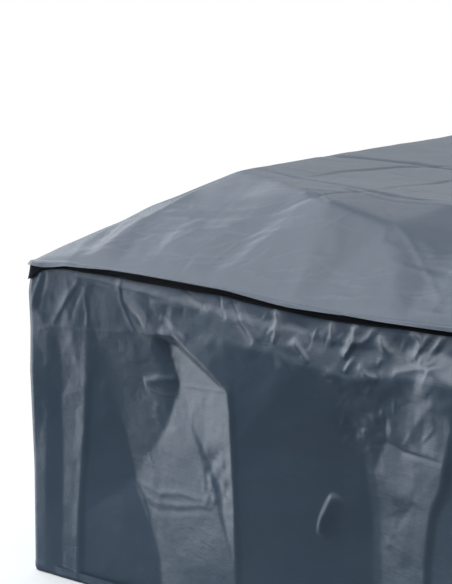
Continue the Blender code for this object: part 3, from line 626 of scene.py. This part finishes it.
def front_places(cloth):
    """Where the front's crumples lie: 1 inside each place, 0 outside."""
    hanging = ramp(cloth.y, TAPE_ZONE, TAPE_ZONE + 0.020) * ramp(cloth.x, 0.0, 0.04)
    hanging = hanging * ramp(LENGTH - cloth.x, CORNER_WRAP, CORNER_WRAP + 0.04)
    strip = hanging * (1.0 - ramp(cloth.y, 0.115, 0.145))
    blotchy = cloth.zone(0.870, 1.130, 0.130, 0.245, 0.018)
    return {
        "hanging": hanging,
        "strip": strip,
        "strip, right": strip * ramp(cloth.x, 0.55, 0.80),
        "left": hanging * (1.0 - ramp(cloth.x, 0.36, 0.44)),
        "right": hanging * ramp(cloth.x, 0.86, 0.95) * ramp(cloth.y, 0.11, 0.15),
        "blotchy": blotchy,
        "blotchy, left": blotchy * (1.0 - ramp(cloth.x, 0.98, 1.02)),
        "foot of the streak": cloth.zone(0.520, 0.620, 0.330, 0.450, 0.020),
    }


def front_map():
    """The front panel's folds."""
    cloth = HeightMap(LENGTH, SKIRT)
    corner = [(0.0, depth, out) for depth, out in CORNER_STAND]
    still = [[(s, TAPE_ZONE, 0.0), (s, SKIRT, 0.0)] for s in (LENGTH - CORNER_WRAP, LENGTH)]
    cloth.stretch(facets([row[1:] for row in FRONT_FOLDS] + [corner] + still))
    cloth.soften(0.0030)
    dark_slope = cloth.zone(0.200, 0.290, 0.150, 0.330, 0.012)
    cloth.soften(0.0110, dark_slope)
    cloth.detail(FRONT_CRUMPLES, front_places(cloth), 0.0024, FRONT_CREASES, FRONT_WRINKLES)
    return finished_hem(cloth)


def finished_hem(cloth):
    """Straight behind the tape at the top, and a slight step for the turned-up hem."""
    cloth.z *= ramp(cloth.y, TAPE_ZONE - 0.004, TAPE_ZONE + 0.004)
    cloth.z += CLOTH_THICKNESS * ramp(cloth.y, SKIRT - HEM - 0.002, SKIRT - HEM + 0.002)
    return cloth


def packing_creases(length):
    """Creases left in a hidden wall by its folding: two along it and two down it."""
    end, width = 0.04, 0.006
    depths = ((-0.0022, 0.136, 0.130, 0.138), (0.0018, 0.400, 0.396, 0.404))
    along = [("along", height, width, 0.0, ((end, first), (length / 2, middle), (length - end, last)))
             for height, first, middle, last in depths]
    down = [("down", 0.0018, width, 0.0, ((length * share, 0.03), (length * share, SKIRT)))
            for share in (0.33, 0.67)]
    return along + down


def hidden_map(folds, length, seed, corner_at=None):
    """A hidden wall's folds: upright ones that deepen to the hem, and the crease round the top."""
    cloth = HeightMap(length, SKIRT)
    flat_end = CORNER_RADIUS + 2 * CORNER_WRAP
    lines = [[(s, TAPE_ZONE, 0.0), (s, SKIRT, 0.0)] for s in (0.0, flat_end, length - flat_end, length)]
    for along, lean, out in folds:
        lines.append([(along, CREASE_DEPTH, out * CREASE_SHARE), (along + lean, SKIRT, out)])
    cloth.stretch(facets(lines))
    cloth.soften(0.010)
    hanging = ramp(cloth.y, TAPE_ZONE, TAPE_ZONE + 0.030)
    hanging = hanging * ramp(np.minimum(cloth.x, length - cloth.x), CORNER_WRAP, CORNER_WRAP + 0.05)
    places = {"hanging": hanging, "strip": hanging * (1.0 - ramp(cloth.y, 0.11, 0.16))}
    crumples = [(seed + i, *row) for i, row in enumerate(HIDDEN_CRUMPLES)]
    cloth.detail(crumples, places, 0.0030, packing_creases(length), ())
    if corner_at is not None:
        near = 1.0 - ramp(np.abs(cloth.x - corner_at), CORNER_WRAP, 2 * CORNER_WRAP)
        cloth.z += near * interpolate(CORNER_STAND, cloth.y)
    return finished_hem(cloth)


# Meshes of the pieces ------------------------------------------------------------------------------

def placed(along, inward, height):
    """Points in the model's frame, from places on the cover and heights above the binding line."""
    return np.stack((along - LENGTH / 2, inward - WIDTH / 2, height - TOP_UNDERSIDE), axis=-1)


def new_object(name, data):
    """An object of this mesh, light or camera, in the scene."""
    item = bpy.data.objects.new(name, data)
    bpy.context.scene.collection.objects.link(item)
    return item


def grid_object(name, points, uvs, wear=None):
    """A grid of points as a smooth mesh with a flat-cut UV map in metres and a wear attribute."""
    rows, columns = points.shape[:2]
    index = np.arange(rows * columns).reshape(rows, columns)
    corners = np.stack((index[:-1, :-1], index[1:, :-1], index[1:, 1:], index[:-1, 1:]), axis=-1)
    mesh = bpy.data.meshes.new(name)
    mesh.from_pydata(points.reshape(-1, 3).tolist(), [], corners.reshape(-1, 4).tolist())
    layer = mesh.uv_layers.new(name="flat_cut")
    layer.data.foreach_set("uv", uvs.reshape(-1, 2)[corners.reshape(-1)].astype(np.float32).ravel())
    if wear is not None:
        attribute = mesh.attributes.new("wear", "FLOAT", "POINT")
        attribute.data.foreach_set("value", wear.astype(np.float32).ravel())
    mesh.shade_smooth()
    return new_object(name, mesh)


def turn_outwards(piece, outward):
    """Flips the faces where their mean normal points against the given direction."""
    mean = sum((face.normal * face.area for face in piece.data.polygons), Vector())
    if mean.dot(Vector(outward)) < 0.0:
        piece.data.flip_normals()


def dress(piece, nodes, material):
    """Puts a finished piece on the body in place of its solids."""
    piece.data.materials.clear()
    piece.data.materials.append(material)
    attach(piece, "root")
    if nodes:
        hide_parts(*nodes)


def round_outline(s):
    """Plan point and outward direction at distances along the front edge, on round its corners."""
    arc = CORNER_RADIUS * math.pi / 2
    from_left = np.minimum(s, LENGTH - s)
    turn = (CORNER_RADIUS - from_left) / arc
    angle = np.clip(turn, 0.0, 1.0) * math.pi / 2
    out_x, out_y = -np.sin(angle), -np.cos(angle)
    x = np.where(turn <= 0.0, from_left, CORNER_RADIUS * (1.0 + out_x))
    y = CORNER_RADIUS * (1.0 + out_y) + np.maximum(turn - 1.0, 0.0) * arc
    right = s > LENGTH / 2
    return np.where(right, LENGTH - x, x), y, np.where(right, -out_x, out_x), out_y


def outline(side, s):
    """Plan points and outward directions on one side, s being the distance along or in."""
    zero, one = np.zeros_like(s), np.ones_like(s)
    if side == "left":
        return zero, s, -one, zero
    if side == "right":
        return LENGTH * one, s, one, zero
    x, y, out_x, out_y = round_outline(s)
    if side == "back":
        return x, WIDTH - y, out_x, -out_y
    return x, y, out_x, out_y


def wall(side, cloth, columns, rows, material):
    """A wall panel on its height map, with its hem turned up behind it."""
    s, depth = np.meshgrid(columns, rows)
    x, y, out_x, out_y = outline(side, s)
    length = LENGTH if side in ("front", "back") else WIDTH
    within = np.clip(s, 0.0, length)
    out = cloth.at(within, depth)
    height = wall_height(x, y, depth)
    points = placed(x + out_x * out, y + out_y * out, height)
    wear = cloth.at(within, depth, cloth.wear)
    uvs = np.stack((s, -depth), axis=-1)
    for up, back in HEM_TURN:
        turned = out[-1] - back * CLOTH_THICKNESS
        turned = placed(x[-1] + out_x[-1] * turned, y[-1] + out_y[-1] * turned, height[-1] + up)
        points = np.concatenate((points, turned[None]))
        uvs = np.concatenate((uvs, uvs[-1:] - (0.0, max(up, 0.0005))))
        wear = np.concatenate((wear, wear[-1:] * 0.0))
    piece = grid_object(side + "_cloth", points, uvs, wear)
    turn_outwards(piece, OUTWARD[side])
    dress(piece, [side + "_panel"], material)


def corner_zones(length):
    """Column spacing round the corners at both ends of a panel."""
    start = BEND_START - CORNER_WRAP
    return (((start, BEND_START, 0.010), (BEND_START, CORNER_RADIUS, 0.003)),
            ((length - CORNER_RADIUS, length - BEND_START, 0.003),
             (length - BEND_START, length - start, 0.010)))


def walls(material):
    """All four wall panels."""
    left, right = corner_zones(LENGTH)
    above_hem, on_hem = SKIRT - 0.032, SKIRT - 0.014
    step = ((above_hem, on_hem, 0.003), (on_hem, SKIRT, 0.007))
    fine_rows = graded(((WALL_START, 0.300, 0.0033), (0.300, 0.540, 0.0045), (0.540, above_hem, 0.0080))
                       + step)
    plain_rows = graded(((WALL_START, 0.160, 0.0080), (0.160, above_hem, 0.0110)) + step)
    fine = graded(left + ((CORNER_RADIUS, FRONT_FINE_TO, 0.0033),
                          (FRONT_FINE_TO, LENGTH - CORNER_RADIUS, 0.012)) + right)
    plain = graded(left + ((CORNER_RADIUS, LENGTH - CORNER_RADIUS, 0.010),) + right)
    side_start = CORNER_RADIUS + CORNER_WRAP + SEAM_GAP
    side = graded(((side_start, WIDTH - side_start, 0.010),))
    wall("front", front_map(), fine, fine_rows, material)
    wall("back", hidden_map(BACK_FOLDS, LENGTH, 51), plain, plain_rows, material)
    wall("left", hidden_map(LEFT_FOLDS, WIDTH, 61, corner_at=0.0), side, plain_rows, material)
    wall("right", hidden_map(RIGHT_FOLDS, WIDTH, 71), side, plain_rows, material)


def edged(zones, length):
    """Places over zones of the top, with closer ones over its rolled edge at both ends."""
    before = ((0.0, TURN_DOWN, 0.0010), (TURN_DOWN, ROLL_FINE, 0.0017))
    after = ((length - ROLL_FINE, length - TURN_DOWN, 0.0035), (length - TURN_DOWN, length, 0.0015))
    return graded(before + zones + after)


def top(material):
    """The top panel, its edge rolled down over the tape."""
    cloth = top_map()
    columns = edged(((ROLL_FINE, TOP_FINE_TO, 0.0046), (TOP_FINE_TO, LENGTH - ROLL_FINE, 0.012)), LENGTH)
    rows = edged(((ROLL_FINE, 0.40, 0.0045), (0.40, 0.90, 0.0060), (0.90, WIDTH - ROLL_FINE, 0.014)), WIDTH)
    along, inward = np.meshgrid(columns, rows)
    on_front_edge = inward < 0.02
    droop = np.where(on_front_edge, interpolate(FRONT_DROOP, along), OTHER_DROOP)
    x, y = rolled_edge(along, inward, np.minimum(LIP_SHARE * droop, LIP_MOST))
    height = cloth.at(np.clip(x, 0.0, LENGTH), np.clip(y, 0.0, WIDTH))
    height -= droop * np.clip(1.0 - from_edge(along, inward) / TURN_DOWN, 0.0, 1.0)
    piece = grid_object("top_cloth", placed(x, y, height), np.stack((along, inward), axis=-1),
                        cloth.at(along, inward, cloth.wear))
    turn_outwards(piece, (0, 0, 1))
    dress(piece, ["top_panel"], material)


def rolled_edge(along, inward, lip):
    """Moves the edge out over the tape, and rounds the four corners."""
    radius = CORNER_RADIUS
    reach = ((0.0, TAPE_CLEAR), (TURN_DOWN, TURN_DOWN + TAPE_CLEAR), (ROLL, 0.0))
    from_x = np.minimum(along, LENGTH - along)
    from_y = np.minimum(inward, WIDTH - inward)
    grow_x = interpolate(reach, from_x) + lip * np.clip(1.0 - from_x / TURN_DOWN, 0.0, 1.0)
    grow_y = interpolate(reach, from_y) + lip * np.clip(1.0 - from_y / TURN_DOWN, 0.0, 1.0)
    p, q = np.clip(radius - from_x, 0.0, None), np.clip(radius - from_y, 0.0, None)
    in_corner = (p > 0.0) & (q > 0.0)
    total = np.maximum(np.hypot(p, q), 1e-9)
    scale = np.maximum(p, q) / total
    grow = np.maximum(grow_x, grow_y)
    out_p = np.where(in_corner, p * scale + grow * p / total, (radius - from_x) + grow_x)
    out_q = np.where(in_corner, q * scale + grow * q / total, (radius - from_y) + grow_y)
    x = np.where(along < LENGTH / 2, radius - out_p, LENGTH - radius + out_p)
    y = np.where(inward < WIDTH / 2, radius - out_q, WIDTH - radius + out_q)
    return x, y


# Nodes -------------------------------------------------------------------------------------------

def feed(tree, node, inputs):
    """Sets a node's inputs, given by name or number: an output is linked, and a value is set."""
    for name, value in inputs.items():
        if isinstance(value, bpy.types.NodeSocket):
            tree.links.new(value, node.inputs[name])
        else:
            node.inputs[name].default_value = value
    return node


def add(tree, kind, inputs=(), **settings):
    """A new node with its settings and its inputs."""
    node = tree.nodes.new(kind)
    for name, value in settings.items():
        setattr(node, name, value)
    return feed(tree, node, dict(inputs))


# The binding tape and the stitching ----------------------------------------------------------------

def loop_columns(spacing):
    """Plan points and outward directions round the whole cover, anticlockwise from above."""
    long_side = graded(((BEND_START, CORNER_RADIUS, 0.003),
                        (CORNER_RADIUS, LENGTH - CORNER_RADIUS, spacing),
                        (LENGTH - CORNER_RADIUS, LENGTH - BEND_START, 0.003)))
    short_side = graded(((CORNER_RADIUS, WIDTH - CORNER_RADIUS, spacing),))[1:-1]
    parts = [outline("front", long_side), outline("right", short_side),
             outline("back", long_side[::-1]), outline("left", short_side[::-1])]
    return [np.concatenate(values) for values in zip(*parts)]


def tape_section():
    """Cross-section of the folded tape: (out, down) from its upper inner corner, rounded edges."""
    half = TAPE_THICKNESS / 2
    upper = [math.pi * (1.0 - step / 4) for step in range(5)]
    lower = [math.pi * step / 4 for step in range(5)]
    points = [(half + half * math.cos(turn), half - half * math.sin(turn)) for turn in upper]
    points += [(TAPE_THICKNESS + out, TAPE_WIDTH * share) for share, out in TAPE_BULGE]
    points += [(half + half * math.cos(turn), TAPE_WIDTH - half + half * math.sin(turn)) for turn in lower]
    points.append((0.0, TAPE_WIDTH * 0.5))
    return points


def binding(material):
    """The black tape round the top edge: one closed loop with a slightly uneven lower edge."""
    x, y, out_x, out_y = loop_columns(0.008)
    place = np.cumsum(np.hypot(np.diff(x, append=x[0]), np.diff(y, append=y[0])))
    # Two waves that don't keep step, by about half a millimetre each.
    wave = 0.0004 * np.sin(place * 41.0) + 0.0005 * np.sin(place * 17.0 + 1.0)
    near_corner = np.exp(-(np.hypot(x, y - 0.01) / CORNER_REACH) ** 2)
    section = tape_section()
    rings = []
    for out, down in section:
        share = down / TAPE_WIDTH
        stand = TAPE_STAND_OFF - TAPE_THICKNESS + out + share ** 2 * (wave + CORNER_FLARE * near_corner)
        depth = TAPE_TOP + down + share * (wave + CORNER_DIP * near_corner)
        rings.append(placed(x + out_x * stand, y + out_y * stand, wall_height(x, y, depth)))
    points = np.stack(rings)
    points = np.concatenate((points, points[:1]))
    points = np.concatenate((points, points[:, :1]), axis=1)
    length = np.concatenate((place - place[0], [place[-1]]))
    across = np.array([down for _, down in section] + [0.0])
    uvs = np.stack(np.meshgrid(length, across), axis=-1)
    piece = grid_object("binding_tape", points, uvs)
    close_seams(piece)
    dress(piece, ["binding"], material)


def close_seams(piece):
    """Merges a tube's doubled ends and turns its faces outwards."""
    shape = bmesh.new()
    shape.from_mesh(piece.data)
    bmesh.ops.remove_doubles(shape, verts=shape.verts, dist=1e-5)
    bmesh.ops.recalc_face_normals(shape, faces=shape.faces)
    shape.to_mesh(piece.data)
    shape.free()


def stitch_tree(material, name):
    """Geometry nodes: stitches of thread laid end to end along a path that carries its own normals."""
    tree = bpy.data.node_groups.new(name, "GeometryNodeTree")
    tree.interface.new_socket("Geometry", in_out="INPUT", socket_type="NodeSocketGeometry")
    for label, size in STITCH_SIZES.items():
        socket = tree.interface.new_socket(label, in_out="INPUT", socket_type="NodeSocketFloat")
        socket.default_value = size
    tree.interface.new_socket("Geometry", in_out="OUTPUT", socket_type="NodeSocketGeometry")
    given = add(tree, "NodeGroupInput").outputs
    path = add(tree, "GeometryNodeMeshToCurve", {"Mesh": given["Geometry"]})
    even = add(tree, "GeometryNodeResampleCurve",
               {"Curve": path.outputs["Curve"], "Length": given["Pitch"]}, mode="LENGTH")
    outward = add(tree, "GeometryNodeInputNamedAttribute", {"Name": "outward"}, data_type="FLOAT_VECTOR")
    tangent = add(tree, "GeometryNodeInputTangent")
    thread_piece = add(tree, "GeometryNodeMeshCylinder", {
        "Vertices": 6, "Side Segments": 2, "Depth": given["Stitch"], "Radius": given["Thread"]})
    along = add(tree, "FunctionNodeAlignRotationToVector", {"Vector": tangent.outputs["Tangent"]}, axis="Z")
    facing = add(tree, "FunctionNodeAlignRotationToVector",
                 {"Rotation": along.outputs["Rotation"], "Vector": outward.outputs["Attribute"]},
                 axis="X", pivot_axis="Z")
    laid = add(tree, "GeometryNodeInstanceOnPoints", {
        "Points": even.outputs["Curve"], "Instance": thread_piece.outputs["Mesh"],
        "Rotation": facing.outputs["Rotation"]})
    real = add(tree, "GeometryNodeRealizeInstances", {"Geometry": laid.outputs["Instances"]})
    smooth = add(tree, "GeometryNodeSetShadeSmooth", {"Geometry": real.outputs["Geometry"]})
    finish = add(tree, "GeometryNodeSetMaterial", {
        "Geometry": smooth.outputs["Geometry"], "Material": material})
    add(tree, "NodeGroupOutput", {"Geometry": finish.outputs["Geometry"]})
    return tree


def stitched(name, loops, material):
    """A piece of stitches along closed loops of (points, outward directions), as one plain mesh."""
    points, outs, edges = [], [], []
    for loop, out in loops:
        first = len(points)
        points += loop.tolist()
        outs += out.tolist()
        edges += [(i, i + 1) for i in range(first, len(points) - 1)]
        edges.append((len(points) - 1, first))
    mesh = bpy.data.meshes.new(name + "_path")
    mesh.from_pydata(points, edges, [])
    attribute = mesh.attributes.new("outward", "FLOAT_VECTOR", "POINT")
    attribute.data.foreach_set("vector", np.array(outs, dtype=np.float32).ravel())
    path = new_object(name + "_path", mesh)
    modifier = path.modifiers.new("Stitches", "NODES")
    modifier.node_group = stitch_tree(material, name)
    for item in modifier.node_group.interface.items_tree:
        if item.in_out == "INPUT" and item.name in STITCH_SIZES:
            modifier[item.identifier] = STITCH_SIZES[item.name]
    depsgraph = bpy.context.evaluated_depsgraph_get()
    made = bpy.data.meshes.new_from_object(path.evaluated_get(depsgraph), depsgraph=depsgraph)
    made.name = name
    bpy.data.objects.remove(path, do_unlink=True)
    dress(new_object(name, made), [], material)


def tape_stitches(material):
    """Two rows of stitches through the binding tape."""
    x, y, out_x, out_y = loop_columns(0.010)
    stand = TAPE_STAND_OFF + STITCH_SIZES["Thread"]
    outward = np.stack((out_x, out_y, 0.0 * x), axis=-1)
    loops = []
    for down in STITCH_ROWS:
        height = wall_height(x, y, TAPE_TOP + down)
        loops.append((placed(x + out_x * stand, y + out_y * stand, height), outward))
    stitched("tape_stitches", loops, material)


# Materials -----------------------------------------------------------------------------------------

CLOTH_DARK = (0.050, 0.074, 0.107, 1.0)
CLOTH_LIGHT = (0.060, 0.087, 0.124, 1.0)
CLOTH_RUBBED = (0.120, 0.150, 0.190, 1.0)
TAPE_DARK = (0.0018, 0.0018, 0.0032, 1.0)
TAPE_LIGHT = (0.0050, 0.0050, 0.0085, 1.0)
THREAD_COLOUR = (0.020, 0.020, 0.022, 1.0)


def shader_group(name, inputs, outputs):
    """An empty shader node group with named number and vector sockets."""
    group = bpy.data.node_groups.new(name, "ShaderNodeTree")
    for label, kind, default in inputs:
        socket = group.interface.new_socket(label, in_out="INPUT", socket_type="NodeSocket" + kind)
        if default is not None:
            socket.default_value = default
    for label, kind in outputs:
        group.interface.new_socket(label, in_out="OUTPUT", socket_type="NodeSocket" + kind)
    return group, group.nodes.new("NodeGroupInput"), group.nodes.new("NodeGroupOutput")


def maths(tree, operation, *values):
    """The result of a math node; each value is a socket or a number."""
    return add(tree, "ShaderNodeMath", enumerate(values), operation=operation).outputs[0]


def stretched_noise(tree, place, scale, detail):
    """Noise drawn out along one direction, as uneven threads are."""
    stretch = add(tree, "ShaderNodeMapping", {"Vector": place, "Scale": scale})
    noise = add(tree, "ShaderNodeTexNoise", {"Vector": stretch.outputs[0], "Scale": 1.0, "Detail": detail})
    return maths(tree, "SUBTRACT", noise.outputs["Fac"], 0.5)


def weave_group():
    """Plain weave with uneven threads, and the small dents of a soft coated cloth."""
    group, given, made = shader_group(
        "Plain weave", (("Vector", "Vector", None), ("Pitch", "Float", 0.001), ("Slub", "Float", 0.5),
                        ("Dents", "Float", 1.0)),
        (("Height", "Float"), ("Grain", "Float")))
    place = given.outputs["Vector"]
    split = add(group, "ShaderNodeSeparateXYZ", {0: place})
    waves = []
    for axis in ("X", "Y"):
        turns = maths(group, "DIVIDE", split.outputs[axis], given.outputs["Pitch"])
        waves.append(maths(group, "SINE", maths(group, "MULTIPLY", turns, 2.0 * math.pi)))
    crossing = maths(group, "MULTIPLY", maths(group, "MULTIPLY", *waves), 0.3)
    weft = stretched_noise(group, place, (14.0, 380.0, 1.0), 2.0)
    warp = stretched_noise(group, place, (520.0, 16.0, 1.0), 1.0)
    slub = maths(group, "ADD", weft, maths(group, "MULTIPLY", warp, 0.5))
    dents = stretched_noise(group, place, (42.0, 58.0, 1.0), 3.0)
    height = maths(group, "ADD", crossing, maths(group, "MULTIPLY", slub, given.outputs["Slub"]))
    height = maths(group, "ADD", height, maths(group, "MULTIPLY", dents, given.outputs["Dents"]))
    feed(group, made, {"Height": height, "Grain": maths(group, "ADD", slub, 0.5)})
    return group


def use_wear_group():
    """Wear: creases rubbed pale, and broad soft patches of tone."""
    group, given, made = shader_group(
        "Rubbed creases",
        (("Vector", "Vector", None), ("Crease", "Float", 0.0), ("Patch Size", "Float", 6.0)),
        (("Rub", "Float"), ("Patch", "Float")))
    place = given.outputs["Vector"]
    fine = add(group, "ShaderNodeTexNoise", {"Vector": place, "Scale": 70.0, "Detail": 3.0})
    broad = add(group, "ShaderNodeTexNoise", {
        "Vector": place, "Scale": given.outputs["Patch Size"], "Detail": 4.0, "Roughness": 0.6})
    rub = maths(group, "MULTIPLY", given.outputs["Crease"], fine.outputs["Fac"])
    feed(group, made, {"Rub": rub, "Patch": broad.outputs["Fac"]})
    return group


def shader_start(name):
    """A material with its node tree and its shader."""
    material = bpy.data.materials.new(name)
    material.use_nodes = True
    tree = material.node_tree
    return material, tree, tree.nodes["Principled BSDF"]


def blend(tree, factor, first, second):
    """A colour between two others."""
    node = add(tree, "ShaderNodeMix", {"Factor": factor, "A": first, "B": second}, data_type="RGBA")
    return node.outputs["Result"]


def remap(tree, value, low, high, to_low, to_high):
    """A value moved from one range to another."""
    node = add(tree, "ShaderNodeMapRange", {
        "Value": value, "From Min": low, "From Max": high, "To Min": to_low, "To Max": to_high})
    return node.outputs["Result"]


def woven(tree, weave, place, pitch, slub, dents):
    """The weave's node on a piece's own flat cut."""
    sizes = {"Vector": place, "Pitch": pitch, "Slub": slub, "Dents": dents}
    return add(tree, "ShaderNodeGroup", node_tree=weave, inputs=sizes)


def pressed(tree, height, strength, distance):
    """The surface's direction with a pattern of heights pressed into it."""
    node = add(tree, "ShaderNodeBump", {"Height": height, "Strength": strength, "Distance": distance})
    return node.outputs["Normal"]


def coated_cloth(weave, wear):
    """Blue-grey woven cloth with a satin waterproof coating."""
    material, tree, shader = shader_start("coated_cloth")
    flat = add(tree, "ShaderNodeUVMap", uv_map="flat_cut").outputs["UV"]
    crease = add(tree, "ShaderNodeAttribute", attribute_name="wear").outputs["Fac"]
    threads = woven(tree, weave, flat, 0.0011, 2.5, 7.0)
    rubbed = add(tree, "ShaderNodeGroup", node_tree=wear,
                 inputs={"Vector": flat, "Crease": crease, "Patch Size": 5.0}).outputs
    tone = blend(tree, remap(tree, rubbed["Patch"], 0.3, 0.7, 0.0, 1.0), CLOTH_DARK, CLOTH_LIGHT)
    feed(tree, shader, {
        "Base Color": blend(tree, remap(tree, rubbed["Rub"], 0.15, 0.7, 0.0, 0.35), tone, CLOTH_RUBBED),
        "Roughness": remap(tree, rubbed["Patch"], 0.3, 0.7, 0.20, 0.26),
        "Normal": pressed(tree, threads.outputs["Height"], 1.0, 0.00010),
        "Specular IOR Level": 0.55,
        "Sheen Weight": 0.12,
        "Sheen Roughness": 0.45,
    })
    return material


def woven_tape(weave):
    """Black ribbed binding tape, matte."""
    material, tree, shader = shader_start("binding_tape")
    flat = add(tree, "ShaderNodeUVMap", uv_map="flat_cut").outputs["UV"]
    threads = woven(tree, weave, flat, 0.0016, 0.8, 0.5).outputs
    feed(tree, shader, {
        "Base Color": blend(tree, threads["Grain"], TAPE_DARK, TAPE_LIGHT),
        "Roughness": remap(tree, threads["Grain"], 0.3, 0.7, 0.62, 0.80),
        "Normal": pressed(tree, threads["Height"], 0.6, 0.0003),
        "Specular IOR Level": 0.12,
    })
    return material


def thread(name, colour):
    """Twisted sewing thread."""
    material, tree, shader = shader_start(name)
    place = add(tree, "ShaderNodeTexCoord").outputs["Object"]
    twist = add(tree, "ShaderNodeTexNoise", {"Vector": place, "Scale": 1500.0})
    darker = tuple(0.6 * value for value in colour[:3]) + (1.0,)
    feed(tree, shader, {"Base Color": blend(tree, twist.outputs["Fac"], darker, colour), "Roughness": 0.55})
    return material


# Studio --------------------------------------------------------------------------------------------

# Camera: its place on the cover's plan axes (along, in, above the binding line) and its aim.
CAMERA_PLACE = (3.2357, -3.0646, 0.7612)
CAMERA_TURN = 41.0        # degrees, from looking along +Y towards -X
CAMERA_DIP = 10.6         # degrees below the horizon
CAMERA_LENS = 126.99      # mm
CAMERA_SENSOR = 36.0      # mm, the long side

WHITE = (1.0, 1.0, 1.0, 1.0)
STUDIO_TINT = (0.97, 1.0, 1.04, 1.0)
FLOOR_COLOUR = (0.90, 0.90, 0.90, 1.0)
FLOOR_RADIUS = 1.8
FLOOR_GAP = 0.002         # between the floor and the lowest hem

# Soft light off the studio's walls: name, direction, cosine at the edge and at the core, radiance.
STUDIO_WALLS = (
    ("zenith", (0.0, 0.0, 1.0), 0.60, 0.95, 0.88),
    ("back left, low", (-0.75, 0.65, 0.15), 0.80, 0.97, 0.40),
    ("back left, high", (-0.80, 0.443, 0.407), 0.966, 0.998, 1.40),
    ("back, high", (-0.20, 0.75, 0.60), 0.75, 0.95, 0.36),
    ("left, high", (-0.85, -0.05, 0.50), 0.80, 0.97, 1.60),
    ("left front, high", (-0.60, -0.50, 0.60), 0.80, 0.97, 0.40),
    ("front, high", (0.10, -0.70, 0.70), 0.70, 0.95, 0.72),
)
# Softboxes: name, centre, aim, size, radiance, colour.
SOFTBOXES = (
    ("left_softbox", (-3.3, -1.5, 0.0), (0.0, -1.5, 0.0), (1.8, 3.2), 2.25, (0.93, 1.00, 1.07)),
    ("overhead_softbox", (-1.0, -1.6, 3.0), (0.0, 0.0, 0.0), (4.0, 3.0), 1.35, (0.97, 1.00, 1.03)),
)


def camera():
    """The photograph's view."""
    data = bpy.data.cameras.new("camera")
    data.lens = CAMERA_LENS
    data.sensor_width = CAMERA_SENSOR
    data.clip_end = 100.0
    eye = new_object("camera", data)
    bpy.context.scene.camera = eye
    turn, dip = math.radians(CAMERA_TURN), math.radians(CAMERA_DIP)
    ahead = Vector((-math.sin(turn) * math.cos(dip), math.cos(turn) * math.cos(dip), -math.sin(dip)))
    right = Vector((math.cos(turn), math.sin(turn), 0.0))
    axes = Matrix((right, right.cross(ahead), -ahead)).transposed().to_4x4()
    axes.translation = Vector(placed(*CAMERA_PLACE))
    eye.matrix_world = axes


def softbox(name, place, target, size, radiance, colour):
    """A soft studio light of the given brightness over its face."""
    data = bpy.data.lights.new(name, "AREA")
    data.shape = "RECTANGLE"
    data.size, data.size_y = size
    data.energy = radiance * math.pi * size[0] * size[1]
    data.color = colour
    lamp = new_object(name, data)
    lamp.location = place
    lamp.rotation_euler = (Vector(target) - Vector(place)).to_track_quat("-Z", "Y").to_euler()
    lamp.visible_camera = False


def floor():
    """A pale floor under the cover."""
    bpy.ops.mesh.primitive_circle_add(vertices=96, radius=FLOOR_RADIUS, fill_type="NGON",
                                      location=(0.0, 0.0, CAD_BOX[0].z - FLOOR_GAP))
    ground = bpy.context.object
    ground.name = "floor"
    ground.visible_glossy = False
    material, tree, shader = shader_start("pale_floor")
    feed(tree, shader, {"Base Color": FLOOR_COLOUR, "Roughness": 0.7})
    ground.data.materials.append(material)


def glow(tree, place, direction, edge, core, strength):
    """Brightness of a soft round patch of the studio's walls, seen in a direction."""
    aim = Vector(direction).normalized()
    towards = add(tree, "ShaderNodeVectorMath", {0: place, 1: aim}, operation="DOT_PRODUCT")
    return remap(tree, towards.outputs["Value"], edge, core, 0.0, strength)


def studio():
    """White surroundings for the camera, and soft light from above and from the left."""
    world = bpy.data.worlds.new("studio")
    bpy.context.scene.world = world
    world.use_nodes = True
    tree = world.node_tree
    tree.nodes.clear()
    place = add(tree, "ShaderNodeTexCoord").outputs["Generated"]
    patches = [glow(tree, place, *patch) for _, *patch in STUDIO_WALLS]
    total = patches[0]
    for patch in patches[1:]:
        total = maths(tree, "ADD", total, patch)
    lit = add(tree, "ShaderNodeBackground", {"Color": STUDIO_TINT, "Strength": total})
    seen = add(tree, "ShaderNodeBackground", {"Color": WHITE})
    path = add(tree, "ShaderNodeLightPath")
    pick = add(tree, "ShaderNodeMixShader", {
        0: path.outputs["Is Camera Ray"], 1: lit.outputs[0], 2: seen.outputs[0]})
    add(tree, "ShaderNodeOutputWorld", {"Surface": pick.outputs[0]})
    for row in SOFTBOXES:
        softbox(*row)
    view = bpy.context.scene.view_settings
    view.view_transform = "Standard"
    view.look = "None"
    view.exposure = 0.0
    view.gamma = 1.0


def main():
    """Builds the dressed cover and its studio."""
    camera()
    weave, wear = weave_group(), use_wear_group()
    cloth = coated_cloth(weave, wear)
    top(cloth)
    walls(cloth)
    binding(woven_tape(weave))
    tape_stitches(thread("black_thread", THREAD_COLOUR))
    floor()
    studio()


main()
